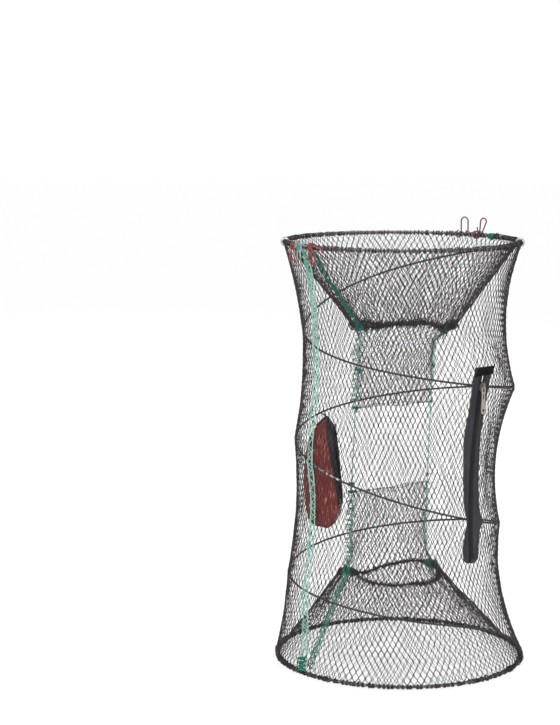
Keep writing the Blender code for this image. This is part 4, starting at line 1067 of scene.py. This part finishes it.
# Bait pocket: a flat pouch of fine red knitted mesh, sewn on three sides and tied to the netting inside the
# wall. Black hook-and-loop tape is folded over its lips, and plain tape over its top. The two edges give the
# distances from the middle at equal steps up from the foot.
POCKET_ANGLE, POCKET_FOOT, POCKET_TALL, POCKET_PEAK, REACH = 212.0, 0.183, 0.131, 0.010, 0.124
POCKET_LEFT = (-0.018, -0.033, -0.041, -0.039, -0.031, -0.0155, 0.0015)
POCKET_RIGHT = (0.027, 0.0425, 0.0448, 0.0428, 0.0398, 0.0370, 0.0310)
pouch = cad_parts["bait_pocket"].data
walls = BVHTree.FromPolygons([v.co.copy() for v in pouch.vertices], [p.vertices[:] for p in pouch.polygons])
left_edge, right_edge = (smooth([Vector((x, 0.0)) for x in side], 12) for side in (POCKET_LEFT, POCKET_RIGHT))


def pocket_angle(x, height):
    """The azimuth at x, which runs from the pouch's left edge, -1, to its lips, 1. Both edges curve."""
    place = max(0.0, min(71.99, 72 * (height - POCKET_FOOT) / POCKET_TALL))
    n, f = int(place), place % 1.0
    left, right = (side[n].x + (side[n + 1].x - side[n].x) * f for side in (left_edge, right_edge))
    return POCKET_ANGLE + math.degrees((left + (right - left) * (x + 1) / 2) / REACH)


def pocket_walls(x, height):
    """The middle radius of the pouch, and half its depth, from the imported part."""
    height = max(POCKET_FOOT + 0.002, min(POCKET_FOOT + POCKET_TALL - 0.002, height))
    out = around(pocket_angle(max(-0.88, min(0.88, x)), height), 1.0, 0.0)
    axis = Vector((0.0, 0.0, height))
    near, far = walls.ray_cast(axis, out)[3], 0.3 - walls.ray_cast(axis + out * 0.3, -out)[3]
    return (near + far) / 2, (far - near) / 2 - 0.0007


def pocket_ends(x):
    low = POCKET_FOOT + 0.004 * abs(x) ** 5 + 0.0022 * uneven(x * 4.6, 8.0)
    return low, POCKET_FOOT + POCKET_TALL + POCKET_PEAK * (1 - abs(x)) - 0.003 * x**6


def pocket_point(x, along, side, off=0.0):
    """A point of the pouch; side is 1 on the outer sheet and -1 on the inner."""
    low, high = pocket_ends(x)
    height = low + (high - low) * along
    middle, half = pocket_walls(x, height)
    sewn = min(1.0, along / 0.09) * min(1.0, (1 - along) / 0.07) * min(1.0, (1 + x) / 0.14)
    open_here = 0.12 + 0.88 * math.sqrt(max(0.0, sewn))
    spot = Vector((x * 1.9, along * 4.2, side * 3.1))
    hanging = math.sin(x * 17.0 + 2.0 * noise.noise(spot)) * (1 - along)
    crease = 0.0011 * noise.noise(spot * 1.4) + 0.0007 * hanging
    pucker = 0.0006 * math.sin(along * 95.0) * max(0.0, 1 - (1 + x) * 6)
    radius = middle + side * (half * open_here + off) + crease - 0.0005 + pucker
    return around(pocket_angle(x, height), radius, height)


def on_pouch(across, along):
    if across < 0.5:
        return pocket_point(1 - 4 * across, along, -1)
    return pocket_point(4 * across - 3, along, 1)


# Knitted polyester mesh: dull red threads about 1 mm apart with holes between them, darker in patches, and
# pale flecks where water and light have worn it. The closure tape is matt black and furry.
def knit(tree):
    return weave(tree, 0.0011, 0.0013)


def mesh_colour(tree):
    colour = mixed(tree, knit(tree), linear("712522"), linear("B24B40"))
    colour = mixed(tree, ramp(tree, rough(tree, 0.016, 3.0), 0.35, 0.7), colour, linear("822F2B"))
    spot = add(tree, "ShaderNodeTexCoord").outputs["Object"]
    streak = add(tree, "ShaderNodeMapping", {"Vector": spot, "Scale": (420.0, 420.0, 80.0)}).outputs[0]
    fleck = add(tree, "ShaderNodeTexNoise", {"Vector": streak, "Scale": 1.0, "Detail": 2.0}).outputs[0]
    return mixed(tree, ramp(tree, fleck, 0.58, 0.70, 0.0, 0.75), colour, linear("DDAEA2"))


red_mesh = finish("red_mesh_cloth", mesh_colour, 0.75, knit, 0.0002)
tree = red_mesh.node_tree
surface = tree.nodes["Principled BSDF"]
tree.links.new(ramp(tree, knit(tree), 0.10, 0.16), surface.inputs["Alpha"])
closure = finish("closure_cloth", mottled(0.0007, "111013", "38363B", 3.0), 0.95, grain(0.0005, 3.0), 0.0004)
pocket = cloth("pocket_cloth", 96, 84, on_pouch, (0.150, 0.138), 0.0005, red_mesh)
folds(pocket, "red_mesh_cloth", "bait_pocket")


def bound(side):
    """Closure tape folded over one lip. It narrows towards the foot, where the lip wraps it."""

    def place(across, along):
        leg = 2 * abs(across - 0.5)
        share = 0.24 + 0.74 * along
        wide = 0.0012 + 0.0165 * (share - 0.24)
        height = POCKET_FOOT + share * POCKET_TALL
        half = REACH * math.radians(pocket_angle(1, height) - pocket_angle(0, height))
        off = 0.0009 * min(1.0, leg * 9) * (-1 if across < 0.5 else 1)
        return pocket_point(1 - max(0.0, leg - 0.06) * wide / half, share, side, off)

    return place


for name, side, node in (("outer", 1, "pocket_hook_strip"), ("inner", -1, "pocket_loop_strip")):
    strip = cloth(f"pocket_{name}_tape", 16, 70, bound(side), (0.014, 0.100), 0.0007, closure)
    folds(strip, "closure_cloth", node)


def on_top_tape(across, along):
    """Tape folded over the pouch's sewn top, from its left shoulder over the peak to its lips."""
    x, leg = -0.98 + 1.96 * along, 2 * abs(across - 0.5)
    low, high = pocket_ends(x)
    wide = 0.0028 + 0.0060 * min(1.0, max(0.0, x + 0.3))
    top = high + 0.0008 - wide * max(0.0, leg - 0.08)
    share = min(0.995, (top - low) / (high - low))
    side = -1 if across < 0.5 else 1
    at = pocket_point(x, share, side, 0.0009 * min(1.0, leg * 8))
    at.z = top
    return at


capping = cloth("pocket_top_tape", 12, 48, on_top_tape, (0.013, 0.036), 0.0007, closure)
folds(capping, "closure_cloth", "pocket_hook_strip")

ties = []
for x, lean in ((-0.96, -3.0), (0.0, 2.0), (0.94, 4.0)):
    start = pocket_point(x, 0.985, 1, 0.0006)
    angle = math.degrees(math.atan2(start.y, start.x)) + lean * 0.3
    end = around(angle, wall_radius(angle, start.z + 0.006) + 0.0006, start.z + 0.006)
    middle = start.lerp(end, 0.5) + Vector((0.0, 0.0, 0.0015))
    ties.append(smooth([start - Vector((0, 0, 0.004)), start, middle, end, end - Vector((0, 0, 0.003))], 6))
    ties.append(knot(end, Vector((0, 0, 1)), 0.0016, x))
hung = lines("pocket_ties", ties, 0.0009, 6, black_twine)
folds(hung, "black_twine", "bait_pocket")
edge = [pocket_point(-1 + 0.03, n / 60, 1, 0.0004) for n in range(2, 59)]
edge += [pocket_point(x / 20, 0.012, 1, 0.0006) for x in range(-19, 20)]
sewing = lines("pocket_sewing", [edge], 0.0007, 5, black_twine)
folds(sewing, "black_twine", "bait_pocket")


# Latch hooks: steel wire in red plastic coating, wound round the top ring's wire, with a crook that hooks
# over the bottom ring. The rear pair stands and has faded. The front pair hangs, with loose knotted tails.
def coated(name, dark, bright, crown):
    """Red coating, worn towards another colour along the wire from its turns round the ring to its crook."""

    def coat_colour(tree):
        along = add(tree, "ShaderNodeAttribute", attribute_name="along").outputs["Fac"]
        worn = ramp(tree, along, 0.080, 0.105)
        colour = mixed(tree, rough(tree, 0.004, 3.0), linear(dark), linear(bright))
        colour = mixed(tree, combine(tree, "MULTIPLY", worn, 0.8), colour, linear(crown))
        return mixed(tree, ramp(tree, rough(tree, 0.0016), 0.66, 0.72), colour, linear("4E2A2A"))

    def coat_roughness(tree):
        return ramp(tree, rough(tree, 0.002), 0.3, 0.7, 0.35, 0.55)

    return finish(name, coat_colour, coat_roughness, grain(0.0007), 0.00004, Coat_Weight=0.15)


red_coat = coated("red_coated_wire", "6E2C2E", "A4524F", "984B49")
faded_coat = coated("faded_red_coated_wire", "5E2A32", "955358", "A07C74")
HOOK_WIRE, HOOK_EYE, HOOK_RETURN, HOOK_CURL = 0.0019, 0.00445, 0.0175, 0.0016
RING_STEP = 10.0


def ring_place(angle, drop=0.0, straight=False):
    """Axes on the top ring's wire: X along it, Y outwards and Z up. Hooks turn on its straight pieces."""
    middle = (angle // RING_STEP + 0.5) * RING_STEP if straight else angle
    spin = Matrix.Rotation(math.radians(middle - 90.0), 4, "Z")
    return Matrix.Translation(around(angle, TOP_RADIUS, TOP_HEIGHT - drop)) @ spin


def hook_route(winds, half, tall, pinch, lean):
    """The wire from its turns round the ring to its curl. The crook may be pinched shut below, or lean."""
    leg, pitch, first = 0.0013, 0.0023, 12 * winds - 2
    points = []
    for n in range(first):
        turn = math.radians(30.0 * (n + 1 - first))
        across = leg + pitch * turn / math.tau
        points.append(Vector((across, HOOK_EYE * math.cos(turn), HOOK_EYE * math.sin(turn))))
    crown = tall - half
    for n in range(7):
        turn = math.pi - math.pi * n / 6
        points.append(Vector((half + half * math.cos(turn), 0.0, crown + half * math.sin(turn))))
    for n in range(5):
        turn = -math.pi * n / 4
        across = 2 * half - HOOK_CURL + HOOK_CURL * math.cos(turn)
        points.append(Vector((across, 0.0, tall - HOOK_RETURN + HOOK_CURL * math.sin(turn))))
    for p in points[first:]:
        low = max(0.0, 1 - p.z / crown)
        p.x = leg + p.x * (1 - pinch * low) + lean * (p.z - 0.003)
        p.y = HOOK_EYE + 0.0025 * pinch * low
    return points


REAR_TAIL = ((-0.001, 0.0045, 0.0), (-0.0045, 0.006, 0.009), (-0.003, 0.006, 0.0035), (0.001, 0.005, 0.003))
FRONT_TAIL = ((-0.002, 0.0062, 0.001), (0.003, 0.007, 0.006), (0.001, 0.0068, 0.013), (0.005, 0.007, 0.017))
for name, angle, finish_of, winds, half, tall, pinch, lean in (
    ("rear_hook_1", 59.8, faded_coat, 1, 0.0053, 0.0220, 0.0, 0.0),
    ("rear_hook_2", 48.8, faded_coat, 2, 0.0050, 0.0220, 0.8, 0.12),
    ("front_hook_1", 207.5, red_coat, 2, 0.0050, 0.0210, 0.2, 0.50),
    ("front_hook_2", 222.5, red_coat, 3, 0.0045, 0.0205, 0.5, -0.05),
):
    place = ring_place(angle, straight=True)
    tails = ()
    if name == "rear_hook_2":
        tails = (REAR_TAIL,)
    if name.startswith("front"):
        place = place @ Matrix.Rotation(math.pi, 4, "Z") @ Matrix.Rotation(math.pi, 4, "X")
        far = 0.012 if name == "front_hook_1" else 0.023
        along_ring = ((0.002, 0.0058, 0.003), (0.3 * far, 0.0062, -0.002), (0.6 * far, 0.0058, -0.001))
        tails = ((*along_ring, (far, 0.0046, 0.002)), FRONT_TAIL)
    routes = [smooth([place @ p for p in hook_route(winds, half, tall, pinch, lean)], 4)]
    for tail in tails:
        routes.append(smooth([place @ Vector(p) for p in tail], 6))
        routes.append(knot(routes[-1][-1], routes[-1][-1] - routes[-1][-2], 0.0012))
    hook = lines(f"{name}_wire", routes, HOOK_WIRE, 12, finish_of)
    rides(hook, name, "red_coated_wire", name)

# Whippings: green cord wound round the top ring by each pair of hooks and knotted, which keeps the hooks
# from sliding along it. The front one is faded and loose, and its ends hang down over the netting.
for side, angle, first, last, cord, size, tails in (
    ("front", 213.5, 206.0, 220.0, faded_cord, 0.0028, ((-2.5, 0.012), (0.5, 0.020), (3.0, 0.017))),
    ("rear", 37.5, 36.0, 40.0, green_cord, 0.0020, ((-1.0, 0.004), (2.0, 0.003))),
):
    routes = [[on_hem("top", angle - 2.0 + 4.0 * n / 72, 30.0 * n, 0.0032) for n in range(73)]]
    for seed, start in ((1.0, 40.0), (6.0, -60.0)):
        strand = []
        for n in range(41):
            turn, reach = start + 130.0 * uneven(n * 0.12, seed), 0.0031 + 0.0006 * uneven(n * 0.2, seed)
            strand.append(on_hem("top", first + (last - first) * n / 40, turn, reach))
        routes.append(strand)
    for apart, turn in ((0.0, -20.0), (1.6, -55.0), (-2.2, 35.0)):
        at, ahead = on_hem("top", angle + apart, turn, 0.0042), on_hem("top", angle + apart + 1, turn, 0.0042)
        routes.append(knot(at, ahead - at, size, apart))
    for apart, drop in tails:
        start = on_hem("top", angle + apart, -10.0, 0.0040)
        lean = around(angle + apart, 0.0022, 0.0)
        down = Vector((0.0, 0.0, -drop))
        keys = [start, start + lean + 0.35 * down, start + lean * 1.6 + down + Vector((0.001, 0.0, 0.0))]
        routes.append(smooth(keys, 6))
    whipping = lines(f"{side}_whipping_cord", routes, 0.0014, 7, cord)
    rides(whipping, "top_ring", "green_cord", f"{side}_whipping")

# Sleeves: short clear vinyl tubes pushed on the top ring over the joins in its hem, slit along the underside.
# Vinyl is glossy where it is new, and these are a little scuffed and cloudy.
clear = finish(
    "clear_plastic",
    mottled(0.003, "E3E8E6", "F4F6F5"),
    lambda tree: ramp(tree, rough(tree, 0.0025), 0.3, 0.7, 0.12, 0.3),
    grain(0.0012),
    0.00005,
    Transmission_Weight=0.85,
    IOR=1.45,
)
SLEEVE_BORE, SLEEVE_OUTSIDE, SLEEVE_LENGTH = 0.0040, 0.0058, 0.0140
for side, angle in (("left", 185.0), ("right", 357.0)):
    turns = [math.radians(-70.0 + 320.0 * n / 48) for n in range(49)]
    section = [Vector((SLEEVE_OUTSIDE * math.cos(t), SLEEVE_OUTSIDE * math.sin(t))) for t in turns]
    section += [Vector((SLEEVE_BORE * math.cos(t), SLEEVE_BORE * math.sin(t))) for t in reversed(turns)]
    place = ring_place(angle, 0.0004) @ Matrix.Rotation(math.radians(90.0), 4, "Z")
    tube = plate([section], -SLEEVE_LENGTH / 2, SLEEVE_LENGTH / 2, place, 0.00025)
    sleeve = solid(f"{side}_sleeve_tube", [tube], clear)
    rides(sleeve, "top_ring", "clear_plastic", f"{side}_sleeve")
